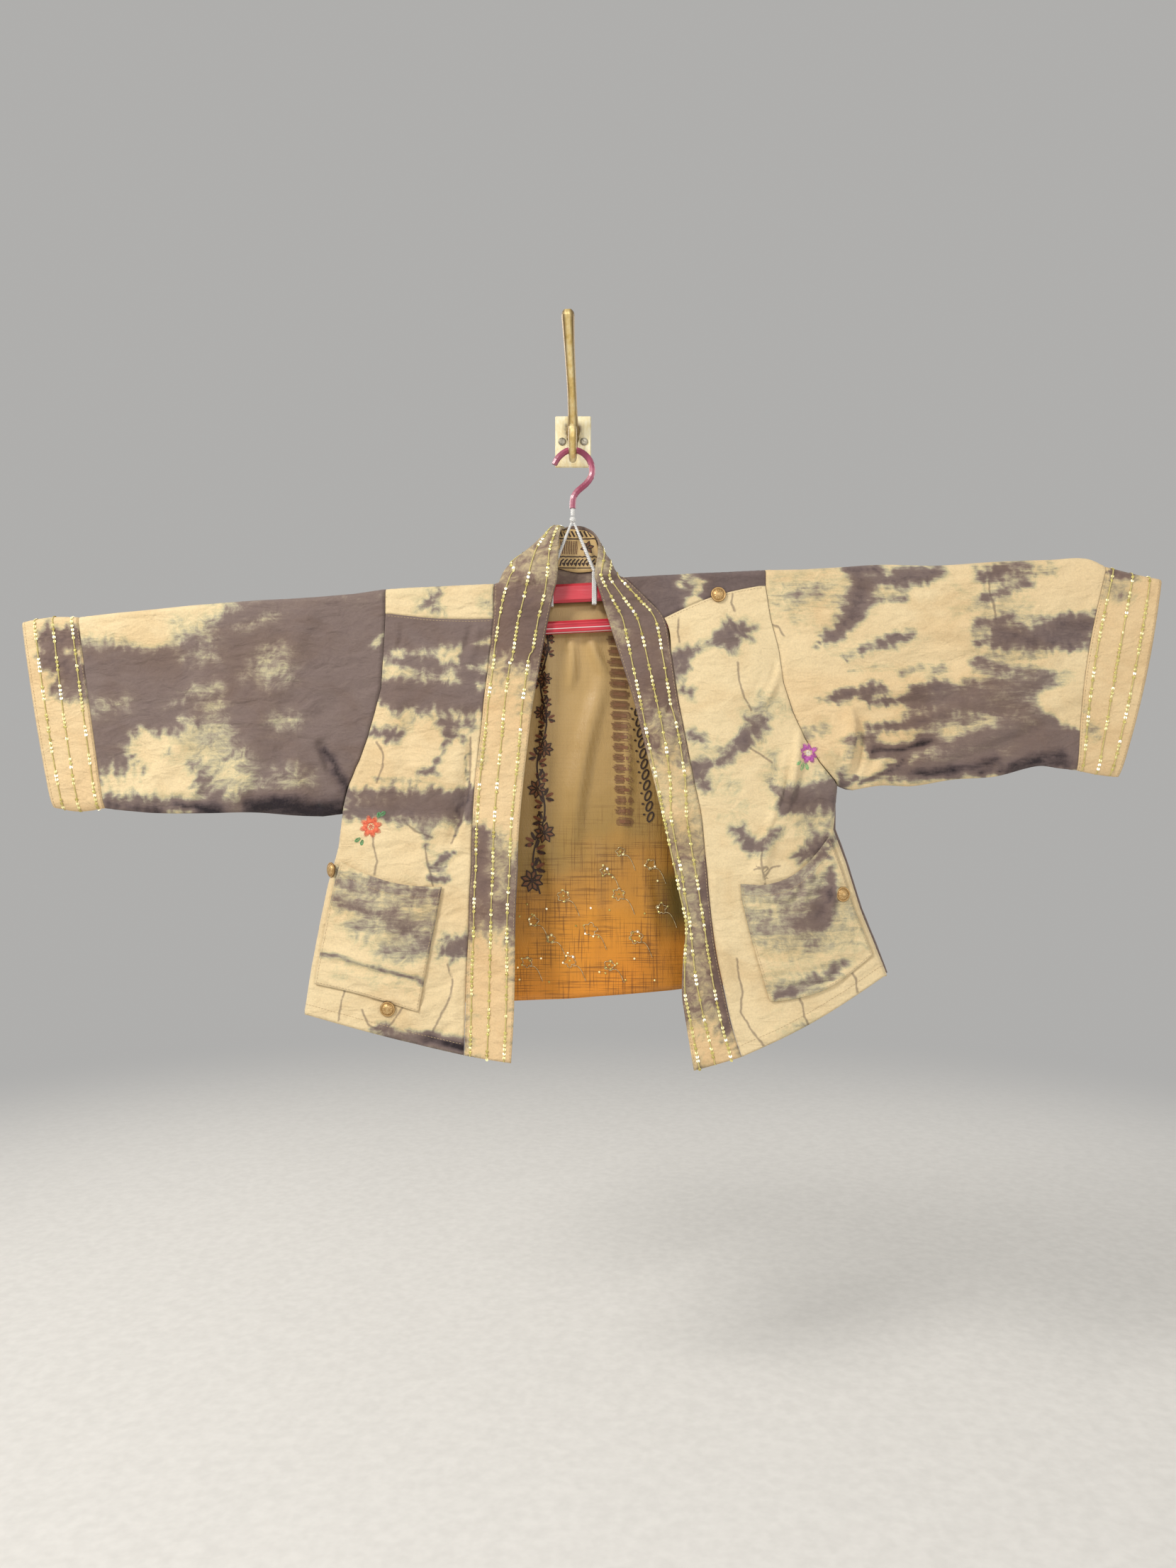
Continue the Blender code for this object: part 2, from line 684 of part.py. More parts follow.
def make_pockets():
    """Two patch pockets, made from their panel's points moved out."""
    table = (("left", LEFT, LEFT_POCKET), ("right", RIGHT, RIGHT_POCKET))
    for side, rows, pocket in table:
        grid = []
        for j in range(8):
            down = j / 7
            line = []
            for i in range(9):
                out = i / 8
                inner = mix(pocket.inner_top, pocket.inner_base, down)
                mouth = mix(pocket.top_inner, pocket.top_outer, out)
                mouth += pocket.mouth_sag * sin(pi * out)
                base = mix(pocket.base_inner, pocket.base_outer, out)
                base += pocket.base_sag * sin(pi * out)
                t = mix(mouth, base, down)
                point = front_point(rows, mix(inner, POCKET_OUTER, out), t)
                belly = POCKET_BELLY * sin(pi * out) * sin(pi * min(down + 0.15, 1))
                point.y -= CLOTH_WALL + 2 * SEAM_GAP + belly
                line.append(point)
            grid.append(line)
        cloth(f"pocket_{side}", grid, CLOTH_WALL, dyed, flip=rows is RIGHT)


def make_button(name, seat, facing):
    """A domed metal button that sits on the cloth and faces outwards."""
    bpy.ops.mesh.primitive_uv_sphere_add(segments=14, ring_count=6, radius=1)
    button = bpy.context.object
    for vert in button.data.vertices:
        vert.co.x *= BUTTON_RADIUS * MM
        vert.co.y *= BUTTON_RADIUS * MM
        flat = 1 if vert.co.z > 0 else BUTTON_BACK
        vert.co.z *= BUTTON_HEIGHT * MM * flat
    lift = BUTTON_HEIGHT * BUTTON_BACK + SEAM_GAP
    facing = Vector(facing).normalized()
    button.location = (Vector(seat) + facing * lift) * MM
    button.rotation_mode = "QUATERNION"
    button.rotation_quaternion = facing.to_track_quat("Z", "Y")
    button.data.shade_smooth()
    claim(button, name, bronze)


def claim(piece, name, material):
    """Name a piece, give it its material and move it to the parts."""
    piece.name = name
    piece.data.name = name
    piece.data.materials.clear()
    piece.data.materials.append(material)
    for group in list(piece.users_collection):
        group.objects.unlink(piece)
    parts.objects.link(piece)


def make_buttons():
    """One button on the right yoke seam, one on each pocket and one at the side."""
    make_button("button_yoke", (181, -47.6, -203), (0, -1, 0.05))
    seat = front_point(RIGHT, 0.96, 13.6)
    make_button("button_pocket_right", seat - Vector((4, 4.0, 0)), (0.25, -1, 0))
    seat = front_point(LEFT, 0.50, 15.32)
    make_button("button_pocket_left", seat - Vector((0, 1.7, 4)), (0, -1, -0.1))
    seat = edge_point(LEFT, 12.6, EDGE_STEPS[1])
    make_button("button_side", seat - Vector((1.1, 1.0, 0)), (-1, -0.85, 0))


def tube(name, path, material, resolution=2, finer=3):
    """A round bar along a smooth curve through the path's points."""
    knots = [0.0]
    for a, b in zip(path, path[1:]):
        step = Vector(b[:3]) - Vector(a[:3])
        knots.append(knots[-1] + step.length)
    points = [smooth(path, knots, t) for t in stations(0, len(path) - 1, finer)]
    curve = bpy.data.curves.new(name, "CURVE")
    curve.dimensions = "3D"
    curve.bevel_depth = 1.0 * MM
    curve.bevel_resolution = resolution
    curve.use_fill_caps = True
    spline = curve.splines.new("POLY")
    spline.points.add(len(points) - 1)
    for slot, point in zip(spline.points, points):
        slot.co = (point.x * MM, point.y * MM, point.z * MM, 1.0)
        slot.radius = point.radius
    piece = bpy.data.objects.new(name, curve)
    parts.objects.link(piece)
    curve.materials.append(material)
    return piece


def as_mesh(piece):
    """Turn a curve piece into a welded mesh piece of the same name."""
    bpy.context.view_layer.update()
    evaluated = piece.evaluated_get(bpy.context.evaluated_depsgraph_get())
    mesh = bpy.data.meshes.new_from_object(evaluated)
    form = bmesh.new()
    form.from_mesh(mesh)
    bmesh.ops.remove_doubles(form, verts=form.verts, dist=0.001 * MM)
    form.to_mesh(mesh)
    form.free()
    name = piece.name
    solid = bpy.data.objects.new(name, mesh)
    solid.matrix_world = piece.matrix_world
    bpy.data.objects.remove(piece, do_unlink=True)
    solid.name = name
    parts.objects.link(solid)
    mesh.shade_smooth()
    return solid


def block(name, center, size, material, tilt=0.0, bevel=1.0):
    """A box with rounded edges, turned about Y by its tilt."""
    bpy.ops.mesh.primitive_cube_add(size=1)
    piece = bpy.context.object
    for vert in piece.data.vertices:
        vert.co.x *= size[0] * MM
        vert.co.y *= size[1] * MM
        vert.co.z *= size[2] * MM
    piece.location = Vector(center) * MM
    piece.rotation_euler = (0, tilt, 0)
    rounding = piece.modifiers.new("Rounding", "BEVEL")
    rounding.width = bevel * MM
    rounding.segments = 1
    claim(piece, name, material)
    return piece


def make_hanger():
    """The bar hanger: hook, cord, flat bar, rail, their links and two arms."""
    slope = (RIDGE_RIGHT_Z - RIDGE_LEFT_Z) / (RIDGE_RIGHT_X - RIDGE_LEFT_X)
    tilt = -slope
    top = ridge(0) - CLOTH_WALL - BAR_CLEARANCE
    middle = top - BAR_HEIGHT / 2
    block("hanger_bar", (0, HANGER_Y, middle), (2 * BAR_HALF_LENGTH, BAR_DEPTH, BAR_HEIGHT),
          red_plastic, tilt, bevel=3.5)
    rail_middle = top - RAIL_TOP - RAIL_HEIGHT / 2
    block("hanger_rail", (0, HANGER_Y, rail_middle),
          (2 * RAIL_HALF_LENGTH, RAIL_DEPTH, RAIL_HEIGHT), red_plastic, tilt, bevel=2.5)
    link_height = RAIL_TOP - BAR_HEIGHT - 2 * TOUCH
    for side, sign in (("left", -1), ("right", 1)):
        x = sign * LINK_X
        z = top - BAR_HEIGHT - TOUCH - link_height / 2 + slope * x
        block(f"hanger_link_{side}", (x, HANGER_Y, z), (LINK_WIDTH, 6, link_height),
              red_plastic, tilt, bevel=1.0)
    ends = (("left", -201, -200.6, -600, -232.5), ("right", 200.4, -179.5, 602, -165.5))
    for side, near_x, near_z, far_x, far_z in ends:
        length = hypot(far_x - near_x, far_z - near_z)
        lean = -(far_z - near_z) / (far_x - near_x)
        center = ((near_x + far_x) / 2, HANGER_Y, (near_z + far_z) / 2 - ARM_HEIGHT / 2)
        block(f"hanger_arm_{side}", center, (length, ARM_DEPTH, ARM_HEIGHT),
              red_plastic, lean, bevel=2.0)
    tube("hanger_hook", HANGER_HOOK, burgundy, finer=2)
    stem_end = KNOT_Z + KNOT_RADIUS + TOUCH
    stem = (
        PathPoint(0, BAR_Y, HANGER_HOOK[-1].z - TOUCH, HANGER_CORD),
        PathPoint(0, BAR_Y, stem_end, HANGER_CORD),
    )
    tube("hanger_stem", stem, white_cord, finer=1)
    bpy.ops.mesh.primitive_uv_sphere_add(segments=14, ring_count=8, radius=KNOT_RADIUS * MM)
    knot = bpy.context.object
    knot.location = Vector((0, BAR_Y, KNOT_Z)) * MM
    knot.data.shade_smooth()
    claim(knot, "hanger_knot", white_cord)
    for side, sign in (("left", -1), ("right", 1)):
        x = sign * HANGER_LEG_X
        clip_top = ridge(x) + CLIP_NECK
        down = Vector((x, 0, clip_top - KNOT_Z)).normalized()
        start = Vector((0, BAR_Y, KNOT_Z)) + down * (KNOT_RADIUS + TOUCH)
        leg = (
            PathPoint(start.x, BAR_Y, start.z, 1.3),
            PathPoint(x * 0.6, HANGER_Y, mix(start.z, clip_top, 0.57), 2.2),
            PathPoint(x, HANGER_Y, clip_top + 5 * TOUCH, 2.2),
        )
        tube(f"hanger_leg_{side}", leg, white_cord, finer=2)
        make_clip(side, x, clip_top, middle + slope * x)


def make_clip(side, x, clip_top, middle):
    """A white loop round the flat bar, with a short neck for the cord."""
    height = clip_top - (middle - BAR_HEIGHT / 2) + 4
    center_z = clip_top - height / 2
    loop = block(f"hanger_clip_{side}", (x, HANGER_Y, center_z),
                 (CLIP_WIDTH, CLIP_DEPTH, height), white_cord, bevel=0.8)
    bpy.ops.mesh.primitive_cube_add(size=1)
    slot = bpy.context.object
    slot.name = f"clip_slot_{side}"
    slot.scale = (4 * CLIP_WIDTH * MM, (BAR_DEPTH + 2 * TOUCH) * MM, (BAR_HEIGHT + 3 * TOUCH) * MM)
    slot.location = (x * MM, HANGER_Y * MM, middle * MM)
    slot.hide_render = True
    slot.display_type = "WIRE"
    for group in list(slot.users_collection):
        group.objects.unlink(slot)
    cutters.objects.link(slot)
    cut = loop.modifiers.new("Bar slot", "BOOLEAN")
    cut.operation = "DIFFERENCE"
    cut.object = slot
    cut.solver = "EXACT"


def make_wall_hook():
    """A brass plate with two screws, a long upper arm and a short lower hook."""
    block("wall_plate", (0, -PLATE_DEPTH / 2, 0), (PLATE_WIDTH, PLATE_DEPTH, PLATE_HEIGHT),
          brass, bevel=1.2)
    arm = as_mesh(tube("wall_hook", UPPER_ARM, brass, resolution=3, finer=2))
    lower = as_mesh(tube("lower_hook", LOWER_HOOK, brass, resolution=3, finer=2))
    parts.objects.unlink(lower)
    cutters.objects.link(lower)
    lower.hide_render = True
    lower.display_type = "WIRE"
    join = arm.modifiers.new("Lower hook", "BOOLEAN")
    join.operation = "UNION"
    join.object = lower
    join.solver = "EXACT"
    for side, sign in (("left", -1), ("right", 1)):
        bpy.ops.mesh.primitive_cylinder_add(
            vertices=20, radius=SCREW_RADIUS * MM, depth=SCREW_HEIGHT * MM
        )
        screw = bpy.context.object
        screw.rotation_euler = (pi / 2, 0, 0)
        y = -(PLATE_DEPTH + TOUCH + SCREW_HEIGHT / 2)
        screw.location = Vector((sign * SCREW_X, y, 0)) * MM
        claim(screw, f"wall_screw_{side}", brass)


clear_scene()
parts = make_collection(COLLECTION)
cutters = make_collection("cutters")

dyed = make_material("tie_dyed_cloth", (0.62, 0.52, 0.39), 0.85)
printed = make_material("printed_lining", (0.52, 0.36, 0.17), 0.6)
bronze = make_material("bronze", (0.42, 0.27, 0.11), 0.4, 0.9)
brass = make_material("brass", (0.70, 0.52, 0.20), 0.25, 1.0)
red_plastic = make_material("red_plastic", (0.45, 0.03, 0.05), 0.3)
burgundy = make_material("burgundy_tube", (0.38, 0.09, 0.14), 0.4)
white_cord = make_material("white_cord", (0.85, 0.85, 0.83), 0.5)

make_fronts()
make_yokes()
make_back()
make_back_lining()
make_neckband()
make_neck_lining()
make_sleeves()
make_pockets()
make_buttons()
make_hanger()
make_wall_hook()
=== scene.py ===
# %% [markdown]
# # A short tie-dyed kimono on its hanger
#
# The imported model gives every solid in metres. This script dresses it: each
# cloth piece becomes a thin sheet on its solid's form, and the hanger and the
# hook keep their shapes and get real finishes.

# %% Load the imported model
from collections import namedtuple
from math import ceil, cos, hypot, pi, radians, sin
from random import Random

import bmesh
import bpy
import numpy as np
from mathutils import Matrix, Vector, noise
from mathutils.bvhtree import BVHTree


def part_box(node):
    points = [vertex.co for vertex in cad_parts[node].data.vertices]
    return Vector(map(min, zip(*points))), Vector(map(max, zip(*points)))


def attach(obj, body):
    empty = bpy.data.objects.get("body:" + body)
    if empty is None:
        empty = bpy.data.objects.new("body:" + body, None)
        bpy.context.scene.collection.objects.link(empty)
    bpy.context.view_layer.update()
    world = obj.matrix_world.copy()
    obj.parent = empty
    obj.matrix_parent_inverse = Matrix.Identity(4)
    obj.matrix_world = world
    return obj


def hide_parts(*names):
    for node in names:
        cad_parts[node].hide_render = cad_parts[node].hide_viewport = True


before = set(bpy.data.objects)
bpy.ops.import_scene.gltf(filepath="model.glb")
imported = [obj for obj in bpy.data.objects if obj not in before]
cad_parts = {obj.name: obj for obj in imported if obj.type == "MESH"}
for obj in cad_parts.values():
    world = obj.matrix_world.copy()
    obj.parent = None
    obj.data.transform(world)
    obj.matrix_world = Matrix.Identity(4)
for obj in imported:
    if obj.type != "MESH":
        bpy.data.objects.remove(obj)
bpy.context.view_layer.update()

MM = 0.001

# %% [markdown]
# ## The camera
#
# The eye stands level, a metre and a half in front of the garment. A scene
# point and its place in the picture follow from one set of named values, so
# dye marks and creases can be given where the picture shows them.

# %% Camera
def placed(name, data):
    """A new object in the scene, at the origin."""
    made = bpy.data.objects.new(name, data)
    bpy.context.scene.collection.objects.link(made)
    return made


PhotoView = namedtuple("PhotoView", "focal middle_u middle_v eye_x eye_y eye_z")
PHOTO = PhotoView(1671.0, 829.5, 1106.0, 19.1, -1520.0, -438.4)
SENSOR = 36.0

lens = bpy.data.cameras.new("camera")
lens.sensor_fit = "HORIZONTAL"
lens.sensor_width = SENSOR
lens.lens = SENSOR * PHOTO.focal / (2 * PHOTO.middle_u)
lens.clip_start = 0.05
lens.clip_end = 40
eye = placed("camera", lens)
eye.location = Vector((PHOTO.eye_x, PHOTO.eye_y, PHOTO.eye_z)) * MM
eye.rotation_euler = (pi / 2, 0, 0)
bpy.context.scene.camera = eye


def seen_at(points):
    """Where points in millimetres lie in the picture, as two arrays."""
    away = points[..., 1] - PHOTO.eye_y
    u = PHOTO.middle_u + PHOTO.focal * (points[..., 0] - PHOTO.eye_x) / away
    v = PHOTO.middle_v - PHOTO.focal * (points[..., 2] - PHOTO.eye_z) / away
    return u, v


print("lens", round(lens.lens, 2), "mm")

# %% [markdown]
# ## Materials as expressions
#
# Node trees are long to write by hand. A small class wraps one socket, so
# that sums and products of sockets add their own Math nodes, and one method
# makes any other node.


# %% Sockets and finishes
def maths(operation, swap=False):
    """A method that adds one Math node."""
    def method(self, other=0.0):
        pair = (other, self) if swap else (self, other)
        return self.finish.node("ShaderNodeMath", {"operation": operation}, dict(enumerate(pair)))
    return method


class Sock:
    """A node's output; arithmetic on it adds Math nodes."""

    def __init__(self, finish, socket):
        self.finish = finish
        self.socket = socket

    __add__ = __radd__ = maths("ADD")
    __mul__ = __rmul__ = maths("MULTIPLY")
    __sub__ = maths("SUBTRACT")
    __rsub__ = maths("SUBTRACT", swap=True)
    __truediv__ = maths("DIVIDE")
    __abs__ = maths("ABSOLUTE")
    sine = maths("SINE")
    larger = maths("MAXIMUM")

    def between(self, low, high):
        """0 at low, 1 at high, and an easy curve between them."""
        return self.finish.node(
            "ShaderNodeMapRange", {"interpolation_type": "SMOOTHSTEP"},
            {"Value": self, "From Min": low, "From Max": high},
        )


class Finish:
    """One Principled material and the nodes that vary it."""

    def __init__(self, name, **constants):
        self.material = bpy.data.materials.new(name)
        self.material.use_nodes = True
        self.tree = self.material.node_tree
        self.shader = self.tree.nodes["Principled BSDF"]
        for label, value in constants.items():
            self.shader.inputs[label.replace("_", " ")].default_value = value

    def node(self, kind, settings=None, inputs=None, output=0):
        made = self.tree.nodes.new(kind)
        for label, value in (settings or {}).items():
            if label == "stops":
                self.set_stops(made.color_ramp, value)
            else:
                setattr(made, label, value)
        for label, value in (inputs or {}).items():
            if isinstance(value, Sock):
                self.tree.links.new(value.socket, made.inputs[label])
            else:
                made.inputs[label].default_value = value
        return Sock(self, made.outputs[output])

    def set_stops(self, ramp, stops):
        """Stops of a ramp, each a place and its colour's three parts."""
        while len(ramp.elements) < len(stops):
            ramp.elements.new(1.0)
        for element, (place, *color) in zip(ramp.elements, stops):
            element.position = place
            element.color = tint(*color)

    def attribute(self, name):
        return self.node("ShaderNodeAttribute", {"attribute_name": name}, output=2)

    def parts(self, uv=None, scale=(1, 1, 1)):
        """The x, y and z of a place on the object, or on its UV map."""
        if uv:
            source = self.node("ShaderNodeUVMap", {"uv_map": uv})
        else:
            source = self.node("ShaderNodeTexCoord", output=3)
        place = self.node("ShaderNodeMapping", None, {"Vector": source, "Scale": scale})
        apart = self.node("ShaderNodeSeparateXYZ", None, {"Vector": place})
        return [Sock(self, end) for end in apart.socket.node.outputs]

    def noise(self, scale, detail=3.0, roughness=0.5, distortion=0.0, shift=(0, 0, 0)):
        """Noise over the object; scale is one number, or one for each axis."""
        if not isinstance(scale, tuple):
            scale = (scale, scale, scale)
        source = self.node("ShaderNodeTexCoord", output=3)
        place = self.node("ShaderNodeMapping", None, {
            "Vector": source, "Scale": scale, "Location": shift,
        })
        return self.node("ShaderNodeTexNoise", None, {
            "Vector": place, "Scale": 1.0, "Detail": detail,
            "Roughness": roughness, "Distortion": distortion,
        })

    def blend(self, share, first, second, how="MIX"):
        settings = {"data_type": "RGBA", "blend_type": how}
        return self.node("ShaderNodeMix", settings, {0: share, 6: first, 7: second}, output=2)

    def ramp(self, value, stops):
        return self.node("ShaderNodeValToRGB", {"stops": stops}, {"Fac": value})

    def link(self, label, value):
        self.tree.links.new(value.socket, self.shader.inputs[label])

    def bump(self, height, distance):
        inputs = {"Height": height, "Distance": distance, "Strength": 1.0}
        self.link("Normal", self.node("ShaderNodeBump", None, inputs))


def tint(red, green, blue):
    """A colour as read on a screen, from 0 to 255, in Blender's linear light."""
    values = []
    for part in (red, green, blue):
        share = part / 255
        low = share / 12.92
        values.append(low if share <= 0.04045 else ((share + 0.055) / 1.055) ** 2.4)
    return (*values, 1.0)


# %% [markdown]
# ## The studio
#
# A pale floor under a pale surround, and large soft lamps on all sides, so
# that every view is lit. The key lamp stands high on the left and is the
# strongest, because creases only show when light comes from one side.

# %% Floor, surround and lamps
def mesh_of(form, name, smooth=True):
    """The finished form as a mesh."""
    mesh = bpy.data.meshes.new(name)
    form.to_mesh(mesh)
    form.free()
    if smooth:
        mesh.shade_smooth()
    return mesh


FLOOR_Z = -1.36
FLOOR_HALF = 60.0
SURROUND = (0.86, 0.85, 0.83, 1)
SURROUND_STRENGTH = 0.50

bpy.context.scene.view_settings.view_transform = "Standard"
surround = bpy.data.worlds.new("surround")
surround.use_nodes = True
surround.node_tree.nodes["Background"].inputs["Color"].default_value = SURROUND
surround.node_tree.nodes["Background"].inputs["Strength"].default_value = SURROUND_STRENGTH
bpy.context.scene.world = surround

form = bmesh.new()
bmesh.ops.create_grid(form, x_segments=1, y_segments=1, size=FLOOR_HALF,
                      matrix=Matrix.Translation((0, 0, FLOOR_Z)))
floor = placed("floor", mesh_of(form, "floor", smooth=False))
plaster = Finish("pale_floor", Roughness=1.0, Specular_IOR_Level=0.0,
                 Emission_Strength=SURROUND_STRENGTH)
over, deep, _ = plaster.parts()
far = (over * over + deep * deep).between(0.8, 9.0)
speckle = plaster.noise(60)
ground = plaster.ramp(speckle, ((0.3, 222, 220, 216), (0.7, 230, 228, 224)))
plaster.link("Base Color", plaster.blend(far, ground, (0, 0, 0, 1)))
plaster.link("Emission Color", plaster.blend(far, (0, 0, 0, 1), SURROUND))
floor.data.materials.append(plaster.material)

Lamp = namedtuple("Lamp", "name x y z size power")
LAMPS = (
    Lamp("key", -1.9, -1.75, 1.25, 0.7, 66),
    Lamp("fill", 2.2, -2.3, 0.1, 1.8, 19),
    Lamp("front", 0.25, -2.3, 0.5, 0.5, 7),
    Lamp("back_left", -1.9, 2.1, 0.7, 1.3, 22),
    Lamp("back_right", 2.0, 2.0, 0.4, 1.5, 15),
)
LAMP_COLOR = (1.0, 0.965, 0.91)
AIM = Vector((0.0, -0.04, -0.42))
for row in LAMPS:
    glow = bpy.data.lights.new(row.name, "AREA")
    glow.size = row.size
    glow.energy = row.power
    glow.color = LAMP_COLOR
    lamp = placed(row.name, glow)
    lamp.location = (row.x, row.y, row.z)
    lamp.rotation_euler = (AIM - lamp.location).to_track_quat("-Z", "Y").to_euler()

# %% [markdown]
# ## The cut of the garment
#
# The garment's form comes from the same tables as its solids: for each
# station down the body, where the side, the band's seam and the band's free
# edge lie. All of them are in millimetres.

# %% Tables of the form
CLOTH_WALL = 1.8
BAND_WALL = 2.4
SEAM_GAP = 0.3
BACK_SEAM_DROP = 0.4
YOKE_BACK_GAP = 1.5
BAND_PUFF = 2.0
EDGE_ROLL = 8.0
BACK_CROWN = 6.0
FRONT_CROWN = 3.0
BACK_HEM_SAG = 9.0
BACK_SIDE_BULGE = 6.0
POCKET_BELLY = 3.5
BAR_Y = -40.0
RIDGE_LEFT_X = -233.0
RIDGE_LEFT_Z = -195.0
RIDGE_RIGHT_X = 240.0
RIDGE_RIGHT_Z = -171.0
SHOULDER_ROLL = 7.0
YOKE_SEAM = 3
ARMHOLE_SHEET = 9
UNDERARM = 11
HEM = 16

Row = namedtuple(
    "Row",
    "side_x side_z side_y back_y sheet_y back_sheet_y"
    " seam_x seam_z seam_y free_x free_z free_y sag",
)
Turn = namedtuple("Turn", "degrees seam_x free_x free_z free_y")
NeckRow = namedtuple(
    "NeckRow", "seam_x degrees mid_x mid_z mid_y free_x free_z free_y"
)
Section = namedtuple("Section", "top_x top_z bottom_x bottom_z front_y back_y bow")
Fold = namedtuple("Fold", "x0 z0 x1 z1 width height")
Pocket = namedtuple(
    "Pocket",
    "inner_top inner_base top_inner top_outer base_inner base_outer mouth_sag base_sag",
)


def table(kind, *rows):
    """Rows of plain numbers, with the names of their columns."""
    return [kind(*row) for row in rows]


LEFT_TURNS = table(
    Turn,
    (0, -98, -19, -185, -58), (45, -98, -20, -190, -58), (90, -98, -22, -197, -57),
)
RIGHT_TURNS = table(
    Turn,
    (0, 64, 27, -181, -58), (45, 66, 28, -186, -58), (90, 71, 31, -194, -57),
)
LEFT_BODY = table(
    Row,
    (-233, -227, -47, -32, -47, -32, -99, -233, -48, -30, -234, -51, -3),
    (-235, -270, -48, -30, -48, -30, -104, -284, -50, -41, -293, -53, 0),
    (-238, -319, -49, -28, -49, -27, -110, -332, -52, -50, -345, -55, 0),
    (-246, -350, -49, -27, -50, -25, -113, -365, -53, -54, -378, -56, 0),
    (-255, -381, -49, -27, -51, -24, -117, -400, -54, -58, -412, -58, 0),
    (-266, -411, -48, -28, -52, -23, -121, -440, -56, -62, -450, -60, 0),
    (-281, -445, -47, -30, -53, -23, -124, -488, -58, -66, -497, -63, 0),
    (-286, -468, -45, -35, -54, -23, -125, -520, -60, -67, -529, -65, 0),
    (-287, -476, -40, -40, -54, -23, -125, -537, -61, -67, -544, -66, 0),
    (-292, -517, -39, -39, -55, -23, -127, -577, -64, -69, -585, -70, 0),
    (-305, -563, -38, -38, -56, -22, -128, -624, -67, -70, -628, -74, 0),
    (-316, -615, -38, -38, -58, -22, -130, -672, -70, -70, -673, -78, 0),
    (-325, -664, -38, -38, -60, -21, -131, -719, -73, -71, -721, -83, 0),
    (-334, -723, -38, -38, -62, -20, -132, -769, -77, -74, -776, -88, -1),
)
RIGHT_BODY = table(
    Row,
    (240, -192, -47, -32, -47, -32, 114, -232, -48, 44, -234, -52, 6),
    (246, -232, -48, -30, -48, -30, 123, -279, -50, 61, -288, -55, 2),
    (256, -270, -49, -28, -49, -27, 131, -332, -52, 76, -337, -58, 0),
    (262, -312, -49, -27, -50, -25, 141, -385, -55, 89, -390, -61, 0),
    (274, -349, -49, -27, -51, -24, 150, -433, -57, 101, -438, -64, 0),
    (289, -382, -49, -28, -52, -23, 159, -477, -60, 111, -481, -67, 0),
    (308, -412, -48, -30, -53, -23, 163, -520, -63, 120, -524, -70, 0),
    (326, -433, -45, -35, -54, -23, 166, -550, -65, 127, -555, -73, 0),
    (330, -441, -40, -40, -54, -23, 167, -566, -66, 130, -571, -74, 0),
    (325, -495, -40, -40, -56, -23, 171, -607, -69, 138, -610, -77, 0),
    (340, -535, -39, -39, -57, -22, 177, -650, -72, 135, -649, -80, 0),
    (358, -593, -38, -38, -59, -22, 186, -693, -75, 133, -691, -83, 0),
    (376, -637, -38, -38, -61, -21, 195, -735, -78, 136, -717, -85, -2),
    (391, -675, -38, -38, -64, -20, 206, -770, -81, 147, -785, -88, -6),
)
NECK = table(
    NeckRow,
    (-98, 0, -60, -184, -57, -19, -185, -58), (-97, -45, -67, -174, -51, -18, -172, -57),
    (-93, -90, -74, -163, -44, -18, -162, -56), (-77, -90, -50, -139, -38, -17, -140, -52),
    (-53, -90, -28, -122, -31, -15, -123, -43), (-25, -90, -12, -140, -26, -7, -115, -31),
    (4, -90, 4, -150, -25, 5, -113, -27), (27, -90, 27, -150, -26, 20, -117, -28),
    (43, -90, 43, -158, -31, 33, -132, -35), (53, -90, 48, -161, -45, 31, -155, -51),
    (60, -45, 48, -170, -52, 28, -170, -56), (64, 0, 46, -180, -57, 27, -181, -58),
)
NECK_LINING_FIRST = 4.5
NECK_LINING_LAST = 7.5
NECK_LINING_GAP = 1.1

# %% Sleeves, cuffs, pockets and the largest folds
LEFT_SLEEVE = table(
    Section,
    (-275, -201, -312, -479, -49, -28, 0), (-326, -205.5, -345, -478, -51, -27, 0),
    (-390, -209, -400, -474, -51, -28, 0), (-460, -214, -455, -475, -50, -29, 0),
    (-530, -221, -515, -475, -49, -30, 0), (-580, -226, -555, -472, -48, -31, 0),
    (-616, -230, -584, -469, -47, -32, 0),
)
LEFT_CUFF = table(
    Section,
    (-616, -230, -584, -469, -47, -32, 0), (-650, -230, -617, -473, -48, -32, -2),
    (-685, -236, -648, -468, -48, -31, -2),
)
RIGHT_SLEEVE = table(
    Section,
    (285, -170.5, 350, -446, -49, -28, 0), (330, -168, 385, -440.5, -51, -27, 0),
    (383, -164.7, 425, -441, -51, -28, 0), (453, -165.6, 475, -433, -50, -29, 0),
    (524, -161.2, 528, -429, -49, -30, 0), (595, -158.5, 580, -416.5, -48, -31, 0),
    (640, -157, 607, -419, -47, -32, -6), (665, -167, 629, -421.5, -47, -32, -8),
)
RIGHT_CUFF = table(
    Section,
    (665, -167, 629, -421.5, -47, -32, -8), (700, -176, 655, -427, -48, -32, 0),
    (733, -183, 681, -430, -48, -31, 6),
)
FRONT_FOLDS = table(
    Fold,
    (283, -370, 259, -451, 15, 5), (259, -451, 230, -546, 15, 5), (257, -293, 232, -335, 14, 3),
    (-128, -400, -150, -510, 13, -3), (-215, -300, -235, -470, 24, 3),
)
BACK_FOLDS = table(
    Fold,
    (-150, -260, -175, -700, 32, 4), (-20, -300, -5, -710, 36, -3), (120, -240, 150, -700, 30, 4),
    (-250, -440, -290, -690, 24, -3), (270, -430, 325, -660, 26, 4),
)
LEFT_SLEEVE_FOLDS = table(
    Fold,
    (-313, -390, -284, -447, 11, -4), (-350, -400, -300, -470, 14, 3),
    (-470, -360, -540, -470, 20, 3), (-330, -230, -420, -440, 26, 3),
)
